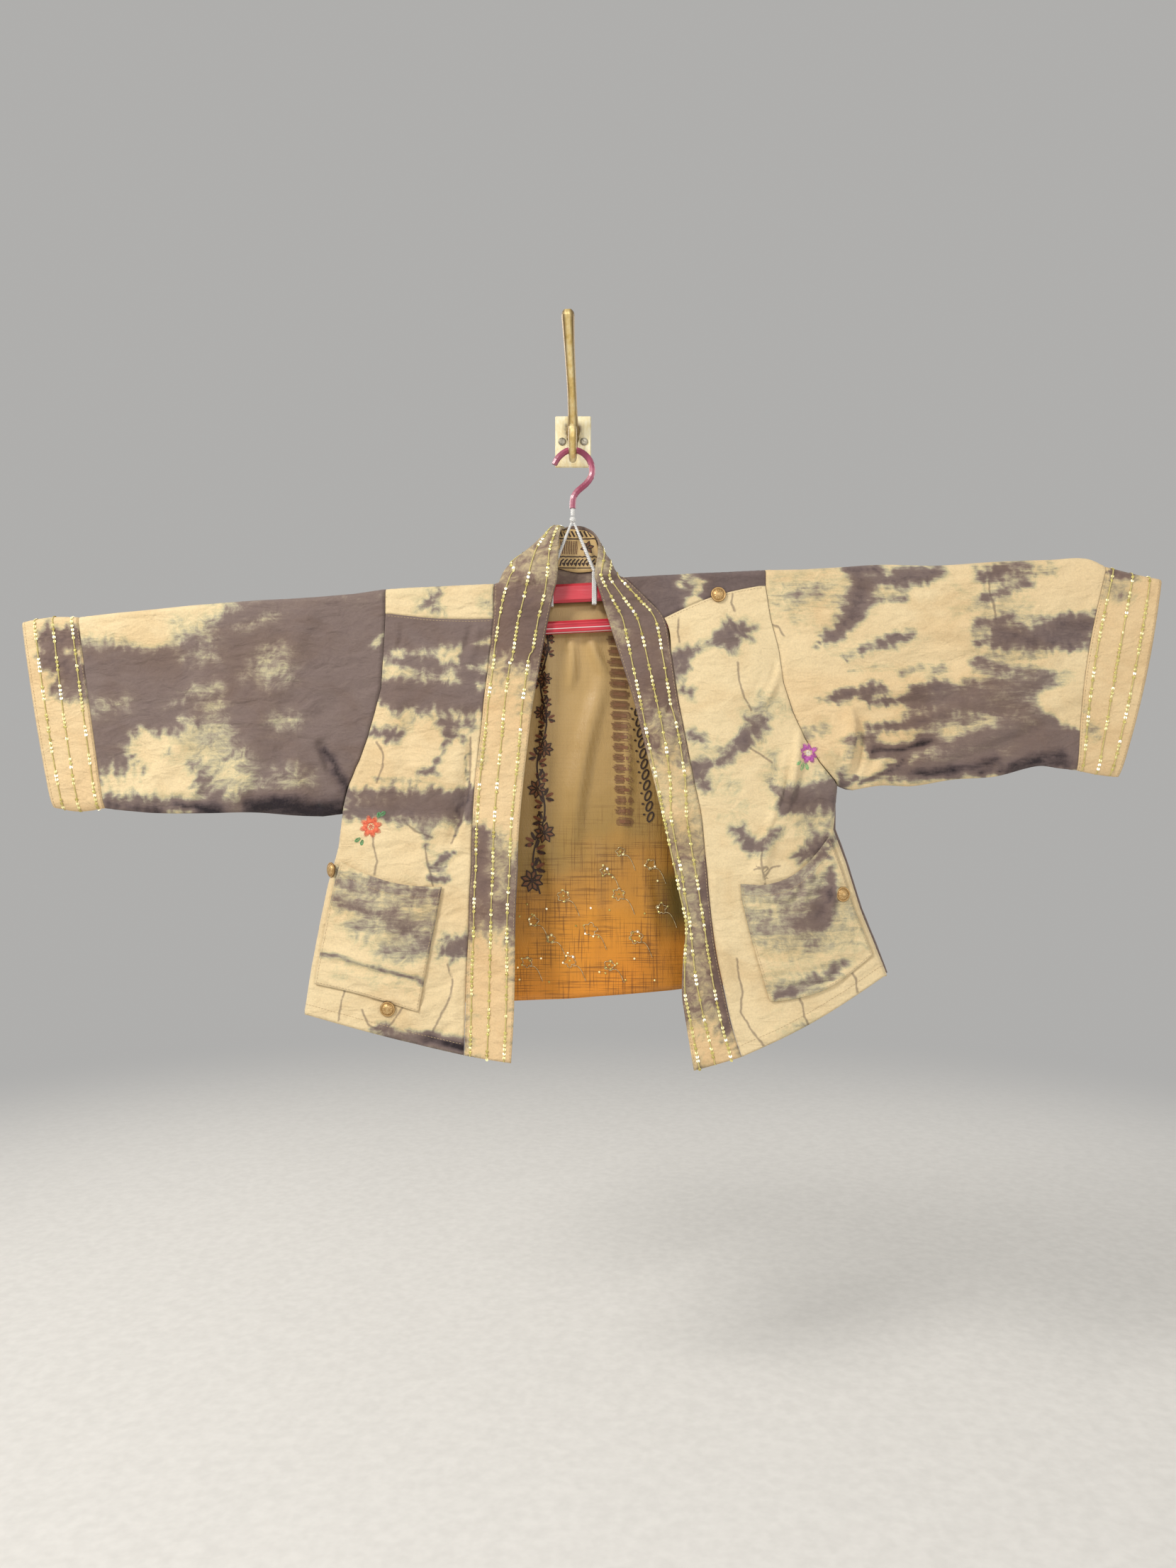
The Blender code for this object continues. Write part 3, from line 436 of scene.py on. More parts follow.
RIGHT_SLEEVE_FOLDS = table(
    Fold,
    (346, -350, 337, -430, 12, 4), (380, -400, 365, -440, 10, -3), (420, -420, 620, -330, 20, 3),
    (300, -215, 560, -260, 26, 3),
)
LEFT_POCKET = Pocket(0.21, 0.30, 12.0, 12.35, 15.27, 15.33, 0.20, -0.05)
RIGHT_POCKET = Pocket(0.244, 0.275, 11.57, 12.15, 14.86, 15.25, 0.50, 0.30)
POCKET_OUTER = 0.985

# %% [markdown]
# ## From the tables to a surface
#
# These functions turn the tables into points: a smooth curve through the
# stations, the roll over the shoulder, and each piece's own line across.


# %% Surface functions
def mix(a, b, share):
    """The value that lies share of the way from a to b."""
    return a + (b - a) * share


def ridge(x):
    """Height of the shoulder ridge above a point across the body."""
    share = (x - RIDGE_LEFT_X) / (RIDGE_RIGHT_X - RIDGE_LEFT_X)
    return mix(RIDGE_LEFT_Z, RIDGE_RIGHT_Z, share)


def rolled(x, degrees):
    """A point on the shoulder roll: 0 is the ridge, 90 in front, -90 behind."""
    angle = radians(degrees)
    drop = SHOULDER_ROLL * (1 - cos(angle))
    return Vector((x, BAR_Y - SHOULDER_ROLL * sin(angle), ridge(x) - drop))


def turn_row(turn, side_x):
    """The table row of one step of the shoulder roll."""
    side = rolled(side_x, turn.degrees)
    behind = rolled(side_x, -turn.degrees)
    seam = rolled(turn.seam_x, turn.degrees)
    return Row(
        side.x, side.z, side.y, behind.y, side.y, behind.y,
        seam.x, seam.z, seam.y, turn.free_x, turn.free_z, turn.free_y, 0,
    )


LEFT = [turn_row(turn, RIDGE_LEFT_X) for turn in LEFT_TURNS] + LEFT_BODY
RIGHT = [turn_row(turn, RIDGE_RIGHT_X) for turn in RIGHT_TURNS] + RIGHT_BODY


def smooth(rows, knots, t):
    """A cubic through the rows, whose slope at each comes from its neighbours."""
    last = len(rows) - 1
    i = min(int(t), last - 1)
    share = t - i

    def slope(k):
        low, high = max(k - 1, 0), min(k + 1, last)
        return (np.array(rows[high]) - np.array(rows[low])) / (knots[high] - knots[low])

    a = np.array(rows[i])
    step = np.array(rows[i + 1]) - a
    span = knots[i + 1] - knots[i]
    start, end = slope(i) * span, slope(i + 1) * span
    return (a + start * share + (3 * step - 2 * start - end) * share ** 2
            + (start + end - 2 * step) * share ** 3)


def station(rows, t):
    """The row at station t of one side of the body."""
    if t == int(t):
        return rows[int(t)]
    knots = [-(row.side_z + row.seam_z) / 2 for row in rows]
    return Row(*smooth(rows, knots, t))


def beside(u, v, u0, v0, u1, v1):
    """A place's share along a line, its distance across it, and the line's length."""
    along_u, along_v = u1 - u0, v1 - v0
    length = hypot(along_u, along_v)
    share = ((u - u0) * along_u + (v - v0) * along_v) / length ** 2
    across = ((u - u0) * along_v - (v - v0) * along_u) / length
    return share, across, length


def fold_height(folds, x, z):
    """How far the largest folds lift the cloth at a point of its face."""
    lift = 0.0
    for fold in folds:
        share, across, length = beside(x, z, *fold[:4])
        beyond = max(-share, share - 1, 0) * length
        reach = hypot(across, beyond) / fold.width
        if reach < 1:
            lift += fold.height * (1 + cos(pi * reach)) / 2
    return lift


def inward(rows):
    """+1 on the left side of the body and -1 on the right."""
    return 1 if rows[0].side_x < 0 else -1


def edge_line(rows, t, back):
    """The armhole's or side's edge, straight from row to row."""
    low = min(int(t), len(rows) - 2)
    start, end = (
        Vector((row.side_x, row.back_y if back else row.side_y, row.side_z))
        for row in rows[low:low + 2]
    )
    return start.lerp(end, t - low)


def edge_point(rows, t, turn, back=False):
    """A point of the strip next to the armhole or side: turn 0 is flat, 1 the edge."""
    row = station(rows, t)
    blend = min(max((t - ARMHOLE_SHEET) / (UNDERARM - ARMHOLE_SHEET), 0.0), 1.0)
    edge = edge_line(rows, t, back)
    sheet_y = row.back_sheet_y if back else row.sheet_y
    gap = SEAM_GAP / 2
    edge.y += blend * (gap if back else -gap)
    depth = cos(turn * pi / 2)
    side_in = EDGE_ROLL * (1 - sin(turn * pi / 2))
    reach = mix(EDGE_ROLL * (1 - turn), side_in, blend) + gap * (1 - blend)
    if back and rows is RIGHT:
        reach -= BACK_SIDE_BULGE * min(max(t - UNDERARM, 0), 1) * sin(pi * depth)
    x = edge.x + inward(rows) * reach
    return Vector((x, mix(edge.y, sheet_y, depth), edge.z))


def front_points(rows, t, shares):
    """Points across a front: share 0 at the band's seam, 1 near the side."""
    row = station(rows, t)
    start = Vector((row.seam_x - inward(rows) * SEAM_GAP / 2, row.seam_y, row.seam_z))
    end = edge_point(rows, t, 0.0)
    line = []
    for share in shares:
        point = start.lerp(end, share)
        hump = sin(pi * share)
        point.z += row.sag * hump
        point.y -= FRONT_CROWN * hump * min(max(t - YOKE_SEAM, 0), 1)
        point.y -= fold_height(FRONT_FOLDS, point.x, point.z) * min(1, 4 * hump)
        line.append(point)
    return line


def back_points(t, shares):
    """Points across the back: share 0 near the left side, 1 near the right."""
    start = edge_point(LEFT, t, 0.0, back=True)
    end = edge_point(RIGHT, t, 0.0, back=True)
    down = (t - YOKE_SEAM) / (HEM - YOKE_SEAM)
    line = []
    for share in shares:
        point = start.lerp(end, share)
        hump = sin(pi * share)
        point.z -= BACK_HEM_SAG * hump ** 2 * max(down, 0)
        point.y += BACK_CROWN * hump * min(max(t - YOKE_SEAM + 1, 0), 1)
        point.y += fold_height(BACK_FOLDS, point.x, point.z) * min(1, 4 * hump)
        line.append(point)
    return line


def shares_of(count, first=0.0, last=1.0):
    """Evenly spaced shares, both ends included."""
    return [mix(first, last, k / count) for k in range(count + 1)]


def stations_of(first, last, finer):
    """Stations from first to last with finer steps in each."""
    count = round((last - first) * finer)
    return [first + k / finer for k in range(count + 1)]


# %% [markdown]
# ## Creases
#
# Worn cotton holds creases that no simulation would place where the real
# ones are. Each is a soft trough or ridge along a line, given where the
# picture shows it: ends in picture coordinates, how far the line bends
# sideways, its half width there, and its height in millimetres.

# %% Crease tables
Crease = namedtuple("Crease", "u0 v0 u1 v1 bend width height")

FRONT_CREASES = table(
    Crease,
    # left sleeve
    (193, 1048, 242, 1140, 6, 9, -2.4), (205, 1060, 262, 1120, -8, 14, 1.6),
    (450, 1046, 494, 1122, -4, 11, -3.0), (470, 1040, 508, 1090, -4, 12, 2.0),
    (418, 1100, 450, 1146, 4, 10, -2.0), (300, 1096, 262, 1150, 4, 12, -2.2),
    (366, 1090, 336, 1146, 4, 12, -1.8), (520, 960, 380, 1090, -12, 24, -1.6),
    (140, 1120, 300, 1108, -6, 12, 1.2),
    # right sleeve
    (1204, 1006, 1190, 1100, 4, 9, 3.4), (1216, 1010, 1206, 1096, 4, 8, -3.0),
    (1250, 1060, 1216, 1102, 6, 10, 3.2), (1262, 1066, 1330, 1050, 4, 9, -3.0),
    (1152, 912, 1240, 800, -8, 16, -1.2), (1180, 930, 1420, 880, 8, 16, 1.6),
    (1170, 950, 1460, 930, 8, 14, -1.6), (1150, 980, 1340, 955, -6, 14, 1.5),
    (1200, 1010, 1400, 985, 6, 12, -1.6), (1260, 1040, 1480, 960, 10, 18, 1.8),
    (1330, 1080, 1500, 1010, -8, 16, -1.8), (1240, 850, 1400, 800, 6, 14, -1.0),
    (1396, 812, 1392, 880, 3, 8, -1.4), (1406, 816, 1404, 872, 3, 10, 1.2),
    (1300, 812, 1510, 800, 4, 12, 1.0), (1420, 1080, 1506, 1050, 5, 10, 1.6),
    # left front and yoke
    (568, 878, 558, 920, 3, 6, -1.4), (666, 874, 643, 938, 4, 8, -1.8),
    (676, 880, 656, 940, 4, 8, 1.2), (600, 845, 545, 841, 2, 5, -1.0),
    (665, 1042, 636, 1190, 7, 8, -3.6), (676, 1050, 650, 1180, 7, 10, 2.4),
    (560, 1000, 640, 1020, -5, 12, -1.2), (530, 1060, 655, 1090, -8, 16, 1.3),
    (668, 1196, 590, 1232, 5, 7, -1.6), (664, 1222, 606, 1246, 4, 6, 1.2),
    (500, 1200, 580, 1180, 4, 10, 1.0), (663, 1282, 625, 1300, -3, 6, -1.4),
    (655, 1300, 612, 1296, 3, 5, 1.0), (655, 1365, 600, 1400, 4, 7, -1.0),
    (650, 1400, 560, 1450, -6, 12, 1.2), (480, 1440, 560, 1400, 4, 12, -1.2),
    (560, 1478, 650, 1440, -6, 10, -2.2), (640, 1478, 656, 1350, 4, 12, 1.4),
    # right front and yoke
    (1108, 922, 1074, 1000, 4, 9, 1.8), (1098, 926, 1064, 996, 4, 8, -1.4),
    (1130, 1022, 1096, 1180, 6, 8, 3.0), (1119, 1030, 1090, 1176, 6, 8, -3.2),
    (1112, 1110, 1098, 1172, 3, 6, -2.6), (1150, 1050, 1176, 1110, 6, 9, -1.8),
    (1158, 1042, 1186, 1100, 6, 9, 1.6), (1060, 1180, 1110, 1150, -4, 10, -1.4),
    (1030, 1360, 1052, 1440, 6, 12, -1.2), (1015, 1300, 1040, 1400, -4, 12, 1.2),
    (1150, 1180, 1176, 1220, 3, 7, 1.8), (1060, 1480, 1180, 1430, 6, 14, 1.3),
    (1185, 1400, 1240, 1350, 4, 12, 1.4),
    # neckband
    (705, 842, 740, 831, 2, 5, -1.4), (720, 860, 770, 850, 3, 7, 1.0),
    (886, 851, 924, 848, 2, 5, -1.6), (880, 862, 930, 864, 3, 8, 1.1),
    (946, 980, 936, 1016, 3, 6, -2.2), (936, 1016, 928, 1076, 3, 6, -2.2),
    (950, 1000, 944, 1070, 3, 9, 1.6), (690, 1378, 728, 1366, 2, 5, -1.4),
    (668, 1382, 710, 1392, 3, 7, 1.2), (690, 1450, 726, 1438, 2, 5, -1.2),
    (722, 1240, 706, 1290, 3, 7, -1.2), (960, 1330, 986, 1300, 3, 6, -1.6),
    (962, 1290, 984, 1284, 2, 5, -1.6), (972, 1460, 1000, 1430, 4, 7, -1.4),
    (968, 1400, 1010, 1440, 4, 10, 1.4), (1010, 1210, 990, 1330, 5, 9, 1.2),
    # cuffs
    (70, 1120, 130, 1128, 3, 8, -1.1), (1570, 900, 1620, 880, 3, 8, 1.0),
)


def unseen(count, seed, long, steep):
    """Seeded lines over the back: steep on the body, flat along the sleeves."""
    chance = Random(seed)
    ends = []
    for _ in range(count):
        u = chance.uniform(50, 1560)
        on_body = 450 < u < 1200
        v = chance.uniform(870, 1400 if on_body else 1090)
        lean = chance.gauss(steep if on_body else 0.1, 0.25)
        reach = long * chance.uniform(0.4, 1)
        ends.append((u, v, u + cos(lean) * reach, v + sin(lean) * reach))
    return ends


BACK_HEIGHTS = (2.8, -2.9, 2.4, -2.2, 3.2)
BACK_CREASES = [
    Crease(*ends, -10 if k % 2 else 10, 13 + 3 * (k % 4), BACK_HEIGHTS[k % 5])
    for k, ends in enumerate(unseen(32, 4, 320, 1.45))
]
LEFT_POCKET_CREASES = table(
    Crease,
    (443, 1345, 606, 1392, -4, 8, -3.6), (446, 1334, 606, 1372, -5, 15, 2.2),
    (470, 1262, 616, 1330, 8, 14, 1.6), (478, 1240, 622, 1272, 8, 8, -1.4),
    (570, 1298, 622, 1304, 3, 6, -1.4), (465, 1365, 540, 1400, 4, 10, 1.2),
)
RIGHT_POCKET_CREASES = table(
    Crease,
    (1176, 1222, 1158, 1302, -8, 9, -4.2), (1186, 1236, 1172, 1300, -5, 9, 2.6),
    (1160, 1214, 1132, 1288, -8, 9, 2.4), (1150, 1240, 1108, 1302, -8, 8, -2.6),
    (1052, 1262, 1150, 1252, -9, 9, 1.8), (1054, 1282, 1136, 1290, -6, 8, -1.4),
    (1060, 1310, 1160, 1306, -10, 12, 1.8), (1064, 1340, 1190, 1322, -12, 13, -1.5),
    (1070, 1362, 1200, 1340, -12, 14, 1.6), (1086, 1402, 1160, 1390, 5, 7, -2.6),
    (1160, 1392, 1232, 1344, 7, 9, -2.8), (1084, 1384, 1200, 1362, -8, 12, 1.8),
    (1200, 1270, 1226, 1340, 4, 10, 1.4), (1152, 1196, 1196, 1250, 4, 10, 1.6),
)
print(len(FRONT_CREASES), "creases in front,", len(BACK_CREASES), "behind")


# %% Lift by creases and by small wrinkles
CREASE_GAIN = 1.6
WRINKLE_BROAD, WRINKLE_FINE = 1.4, 0.8


def crease_lift(creases, u, v):
    """How far the creases lift the cloth, for arrays of picture places."""
    lift = np.zeros_like(u)
    for crease in creases:
        share, across, _ = beside(u, v, *crease[:4])
        inside = np.clip(share, 0, 1)
        across = across - crease.bend * np.sin(pi * inside)
        reach = np.clip(np.abs(across) / crease.width, 0, 1)
        taper = np.sin(pi * inside) ** 0.6
        lift += CREASE_GAIN * crease.height * (1 + np.cos(pi * reach)) / 2 * taper
    return lift


def wrinkle_lift(points, behind):
    """Small uneven wrinkles, other ones on the back of the garment."""
    flat = points.reshape(-1, 3)
    lift = np.empty(len(flat))
    for k, (x, y, z) in enumerate(flat):
        side = 40.0 if behind[k] else 0.0
        broad = noise.noise((x / 60, side, z / 75))
        fine = noise.noise((x / 24 + 9, side + 3, z / 15))
        lift[k] = WRINKLE_BROAD * broad + WRINKLE_FINE * fine
    return lift.reshape(points.shape[:-1])


# %% [markdown]
# ## The dye
#
# Tied cloth takes dye in blotches with feathered, streaky edges and a
# greenish halo. A number at each point of the cloth, its tone, runs from -1,
# undyed cream, through 0, the pale halo, to 1, deep taupe. Tones past 1 are
# near black: painted shade in deep folds and under the sleeves, over the
# dark dye there. Dabs set it in turn, each a stroke between two places with
# its own widths. The material later breaks the edges up with noise.

# %% Dabs of dye
Dab = namedtuple("Dab", "u0 v0 u1 v1 width0 width1 tone soft")
CREAM = -1.0
PALE = -0.12
HALO = 0.08
TAUPE = 0.84
DEEP = 1.0
# Near black: painted shade in deep folds, creases and under the sleeves, over dark dye.
DARK_DYE_AND_SHADOW = 1.42

DABS = {}
DABS["sleeve_left"] = table(
    Dab,
    (110, 876, 250, 862, 34, 30, CREAM, 16), (130, 900, 225, 896, 12, 14, CREAM, 18),
    (220, 880, 330, 846, 24, 6, CREAM, 20), (255, 880, 300, 896, 12, 8, PALE, 22),
    (262, 930, 298, 925, 5, 9, PALE, 16), (238, 990, 310, 964, 2, 6, PALE, 12),
    (360, 945, 398, 950, 14, 13, PALE, 22), (378, 924, 400, 918, 10, 6, PALE, 22),
    (338, 886, 396, 862, 4, 3, PALE, 12), (400, 1018, 404, 1018, 12, 12, PALE, 20),
    (405, 1104, 420, 1106, 20, 16, PALE, 24), (533, 905, 536, 900, 5, 3, CREAM, 8),
    (200, 1056, 258, 1120, 18, 22, CREAM, 15), (212, 1050, 256, 1052, 13, 15, CREAM, 15),
    (130, 1112, 240, 1104, 16, 22, CREAM, 22), (270, 1040, 330, 1100, 20, 26, -0.5, 20),
    (300, 996, 306, 1040, 12, 20, PALE, 20), (300, 1050, 345, 1070, 12, 6, PALE, 24),
    (138, 1000, 178, 992, 8, 5, PALE, 18), (155, 1136, 236, 1142, 4, 8, DARK_DYE_AND_SHADOW, 14),
    (250, 1134, 306, 1146, 9, 12, DARK_DYE_AND_SHADOW, 10), (360, 1137, 480, 1146, 12, 17, DARK_DYE_AND_SHADOW, 11),
    (350, 1140, 420, 1130, 6, 12, DARK_DYE_AND_SHADOW, 16), (238, 1146, 268, 1150, 3, 3, CREAM, 8),
    (120, 930, 170, 926, 12, 14, 0.92, 26), (330, 850, 540, 838, 4, 7, 0.5, 12),
    (456, 1056, 487, 1112, 4, 8, DARK_DYE_AND_SHADOW, 7),
)
DABS["sleeve_right"] = table(
    Dab,
    (1120, 830, 1250, 815, 20, 14, -0.5, 30), (1380, 850, 1500, 905, 26, 40, -0.35, 34),
    (1290, 1000, 1440, 1000, 22, 46, -0.3, 34), (1180, 920, 1300, 905, 8, 10, -0.55, 24),
    (1180, 1062, 1320, 1060, 8, 12, -0.5, 24), (1100, 850, 1195, 838, 26, 30, -0.34, 30),
    (1118, 836, 1150, 830, 6, 5, 0.3, 12), (1156, 907, 1182, 886, 4, 9, TAUPE, 9),
    (1182, 886, 1206, 862, 9, 12, DEEP, 9), (1206, 862, 1216, 836, 14, 12, DEEP, 10),
    (1216, 836, 1206, 804, 10, 12, DEEP, 10), (1200, 804, 1238, 802, 9, 10, DEEP, 10),
    (1226, 822, 1290, 810, 7, 9, TAUPE, 9), (1278, 814, 1318, 808, 10, 12, DEEP, 9),
    (1232, 845, 1276, 841, 4, 4, TAUPE, 7), (1190, 926, 1242, 908, 2, 5, TAUPE, 6),
    (1242, 910, 1282, 897, 7, 7, DEEP, 8), (1200, 946, 1262, 940, 2, 2, HALO, 7),
    (1270, 946, 1300, 942, 3, 3, 0.5, 7), (1318, 944, 1332, 938, 6, 6, 0.3, 10),
    (1386, 812, 1440, 806, 10, 10, DEEP, 10), (1438, 806, 1480, 808, 10, 14, HALO, 14),
    (1384, 842, 1450, 824, 4, 3, TAUPE, 7), (1376, 883, 1430, 868, 3, 5, TAUPE, 8),
    (1378, 906, 1420, 892, 4, 12, TAUPE, 9), (1412, 902, 1520, 894, 13, 24, DEEP, 12),
    (1496, 880, 1545, 876, 14, 20, DEEP, 12), (1376, 936, 1400, 934, 6, 6, TAUPE, 8),
    (1400, 940, 1480, 950, 10, 16, 0.45, 14), (1160, 991, 1196, 979, 3, 8, DEEP, 8),
    (1196, 980, 1240, 973, 9, 9, DEEP, 9), (1228, 992, 1290, 985, 4, 8, DEEP, 8),
    (1290, 980, 1330, 966, 10, 9, DEEP, 9), (1300, 992, 1420, 985, 10, 26, 0.82, 12),
    (1340, 984, 1460, 968, 10, 18, 0.6, 14), (1132, 1031, 1164, 1027, 6, 7, 0.4, 12),
    (1228, 1030, 1296, 1019, 5, 9, TAUPE, 8), (1296, 1019, 1330, 1008, 8, 6, DEEP, 9),
    (1196, 1046, 1234, 1041, 6, 8, 0.6, 9), (1230, 1058, 1296, 1050, 8, 8, DARK_DYE_AND_SHADOW, 9),
    (1296, 1050, 1326, 1038, 8, 7, DARK_DYE_AND_SHADOW, 9), (1340, 1042, 1500, 1034, 22, 30, 0.76, 14),
    (1420, 1062, 1512, 1052, 24, 28, TAUPE, 12), (1420, 990, 1454, 1010, 20, 24, 0.5, 14),
    (1262, 1088, 1340, 1082, 12, 16, TAUPE, 9), (1340, 1078, 1504, 1074, 18, 20, TAUPE, 10),
    (1244, 1040, 1282, 1036, 4, 6, CREAM, 8), (1300, 1074, 1420, 1062, 9, 16, 0.5, 12),
    (1332, 1034, 1400, 1018, 9, 4, -0.4, 10), (1380, 1092, 1500, 1080, 3, 3, DARK_DYE_AND_SHADOW, 8),
    (1398, 934, 1452, 933, 3, 2, CREAM, 7), (1486, 836, 1524, 832, 26, 36, CREAM, 10),
    (1482, 932, 1534, 930, 9, 17, CREAM, 9), (1484, 990, 1520, 996, 16, 30, CREAM, 10),
    (1290, 1093, 1345, 1086, 7, 8, DARK_DYE_AND_SHADOW, 9), (1345, 1086, 1404, 1070, 6, 6, DARK_DYE_AND_SHADOW, 9),
    (1430, 1078, 1500, 1066, 7, 7, DARK_DYE_AND_SHADOW, 10), (1210, 1100, 1290, 1103, 2, 5, 0.5, 8),
    # These strokes paint the shade of the folds at the right underarm.
    (1185, 1108, 1187, 1090, 3, 4, DARK_DYE_AND_SHADOW, 7), (1190, 1106, 1206, 1098, 3, 3, DARK_DYE_AND_SHADOW, 6),
    (1216, 1106, 1250, 1089, 1, 2, DARK_DYE_AND_SHADOW, 5), (1250, 1089, 1276, 1068, 3, 6, DARK_DYE_AND_SHADOW, 7),
    (1199, 1040, 1192, 1088, 3, 4, 0.22, 8),
)
DABS["yoke_left"] = table(
    Dab,
    (612, 850, 638, 850, 16, 14, TAUPE, 14), (652, 850, 676, 850, 30, 30, CREAM, 14),
    (692, 850, 694, 850, 14, 14, 0.2, 14),
)
DABS["yoke_right"] = table(
    Dab,
    (984, 818, 976, 852, 2, 12, CREAM, 8), (966, 812, 962, 822, 3, 5, CREAM, 7),
)
DABS["front_left"] = table(
    Dab,
    (520, 880, 700, 880, 30, 30, TAUPE, 8), (520, 930, 700, 930, 40, 40, TAUPE, 12),
    (520, 975, 690, 975, 30, 34, 0.82, 14), (553, 921, 566, 922, 4, 3, CREAM, 8),
    (576, 924, 645, 918, 3, 6, -0.45, 10), (626, 930, 645, 926, 6, 7, -0.8, 8),
    (538, 938, 558, 942, 9, 5, CREAM, 9), (540, 954, 574, 952, 5, 3, CREAM, 8),
    (574, 952, 640, 954, 3, 8, -0.4, 9), (672, 905, 694, 901, 1, 4, CREAM, 7),
    (670, 944, 692, 940, 1, 6, CREAM, 8), (674, 968, 690, 964, 1, 5, CREAM, 8),
    (532, 998, 538, 1012, 10, 10, CREAM, 8), (550, 1022, 590, 1018, 8, 9, -0.25, 12),
    (532, 1032, 562, 1038, 6, 8, DEEP, 9), (622, 1020, 668, 1024, 9, 6, TAUPE, 10),
    (630, 1038, 654, 1038, 7, 7, DEEP, 8), (628, 1052, 614, 1080, 4, 4, 0.6, 7),
    (596, 1088, 616, 1086, 5, 5, TAUPE, 8), (655, 1034, 668, 1046, 6, 7, CREAM, 8),
    (530, 1100, 600, 1104, 2, 3, 0.4, 7), (485, 1122, 668, 1124, 6, 12, TAUPE, 10),
    (500, 1142, 668, 1138, 14, 20, 0.9, 10), (560, 1160, 640, 1158, 5, 6, 0.1, 10),
    (600, 1164, 606, 1200, 5, 5, 0.5, 9), (606, 1222, 626, 1222, 4, 4, TAUPE, 6),
    (606, 1238, 632, 1238, 6, 4, TAUPE, 7), (616, 1214, 640, 1204, 3, 3, TAUPE, 5),
    (624, 1326, 656, 1328, 6, 10, 0.5, 12), (628, 1342, 656, 1340, 10, 12, 0.85, 12),
    (532, 1458, 600, 1464, 3, 9, 0.4, 9), (598, 1468, 655, 1476, 9, 13, DARK_DYE_AND_SHADOW, 9),
    (552, 1462, 590, 1468, 4, 5, 0.9, 9), (528, 1450, 548, 1452, 3, 5, DEEP, 7),
    (476, 1226, 482, 1246, 5, 6, 0.3, 8), (664, 1060, 660, 1110, 0.5, 1, DARK_DYE_AND_SHADOW, 3),
    (660, 1110, 640, 1182, 1, 1, DARK_DYE_AND_SHADOW, 3),
)
DABS["front_right"] = table(
    Dab,
    (1000, 1060, 1040, 1140, 18, 22, -0.5, 24), (1026, 900, 1044, 888, 13, 15, DEEP, 16),
    (1004, 908, 1024, 900, 5, 10, TAUPE, 14), (955, 928, 976, 918, 12, 7, DEEP, 12),
    (953, 952, 962, 944, 9, 8, DEEP, 12), (964, 972, 972, 980, 6, 7, TAUPE, 10),
    (975, 1038, 986, 1044, 6, 7, TAUPE, 10), (978, 1080, 994, 1110, 10, 8, DEEP, 12),
    (996, 1082, 1018, 1076, 8, 4, TAUPE, 10), (1076, 1022, 1052, 1044, 9, 12, DEEP, 12),
    (1052, 1044, 1024, 1066, 9, 6, DEEP, 12), (1062, 1010, 1072, 1000, 10, 8, 0.15, 20),
    (1080, 990, 1112, 1000, 14, 10, -0.18, 30), (1086, 1060, 1092, 1096, 7, 8, -0.05, 20),
    (1102, 1130, 1122, 1128, 10, 12, TAUPE, 14), (1120, 1130, 1184, 1124, 18, 22, DEEP, 16),
    (1150, 1110, 1180, 1104, 8, 12, TAUPE, 16), (1130, 1168, 1175, 1164, 10, 10, PALE, 20),
    (1036, 1172, 1056, 1192, 7, 9, TAUPE, 12), (1056, 1192, 1080, 1202, 9, 5, TAUPE, 10),
    (1080, 1192, 1096, 1172, 5, 5, TAUPE, 10), (1136, 1206, 1160, 1190, 12, 15, DEEP, 14),
    (1110, 1452, 1150, 1440, 8, 6, -0.25, 26),
)
DABS["neckband"] = table(
    Dab,
    (700, 790, 770, 770, 60, 60, 0.02, 30), (728, 850, 750, 890, 26, 34, DEEP, 20),
    (712, 905, 742, 915, 24, 30, TAUPE, 20), (690, 955, 730, 955, 20, 20, -0.1, 22),
    (700, 1000, 730, 1080, 52, 60, -0.75, 26), (690, 1120, 720, 1160, 44, 40, CREAM, 22),
    (683, 1170, 681, 1250, 9, 10, DEEP, 9), (704, 1180, 704, 1262, 10, 12, 0.05, 14),
    (688, 1360, 700, 1480, 44, 40, CREAM, 24), (845, 790, 862, 830, 22, 12, 0.1, 24),
    (870, 840, 905, 875, 28, 26, 0.85, 18), (846, 860, 868, 890, 5, 6, -0.25, 16),
    (900, 940, 936, 985, 22, 24, TAUPE, 20), (925, 1010, 955, 1060, 26, 26, 0.12, 22),
    (945, 1100, 975, 1160, 34, 34, -0.6, 22), (955, 1225, 975, 1290, 24, 26, 0.22, 20),
    (980, 1190, 1000, 1440, 26, 28, 0.0, 14), (1000, 1200, 998, 1260, 5, 7, DEEP, 6),
    (1001, 1260, 1013, 1380, 8, 9, DEEP, 6), (1015, 1380, 1027, 1450, 8, 7, DEEP, 6),
    (982, 1478, 1020, 1490, 26, 26, CREAM, 18),
)
DABS["cuff_left"] = table(
    Dab,
    (66, 900, 108, 900, 14, 16, DEEP, 14), (72, 925, 108, 960, 16, 24, DEEP, 16),
    (80, 975, 112, 980, 10, 12, 0.5, 14), (38, 860, 56, 1010, 11, 8, CREAM, 8),
)
DABS["cuff_right"] = table(
    Dab,
    (1564, 806, 1592, 812, 8, 10, DEEP, 10), (1562, 830, 1590, 840, 6, 6, 0.1, 14),
    (1535, 1010, 1545, 1040, 4, 6, 0.2, 12),
)
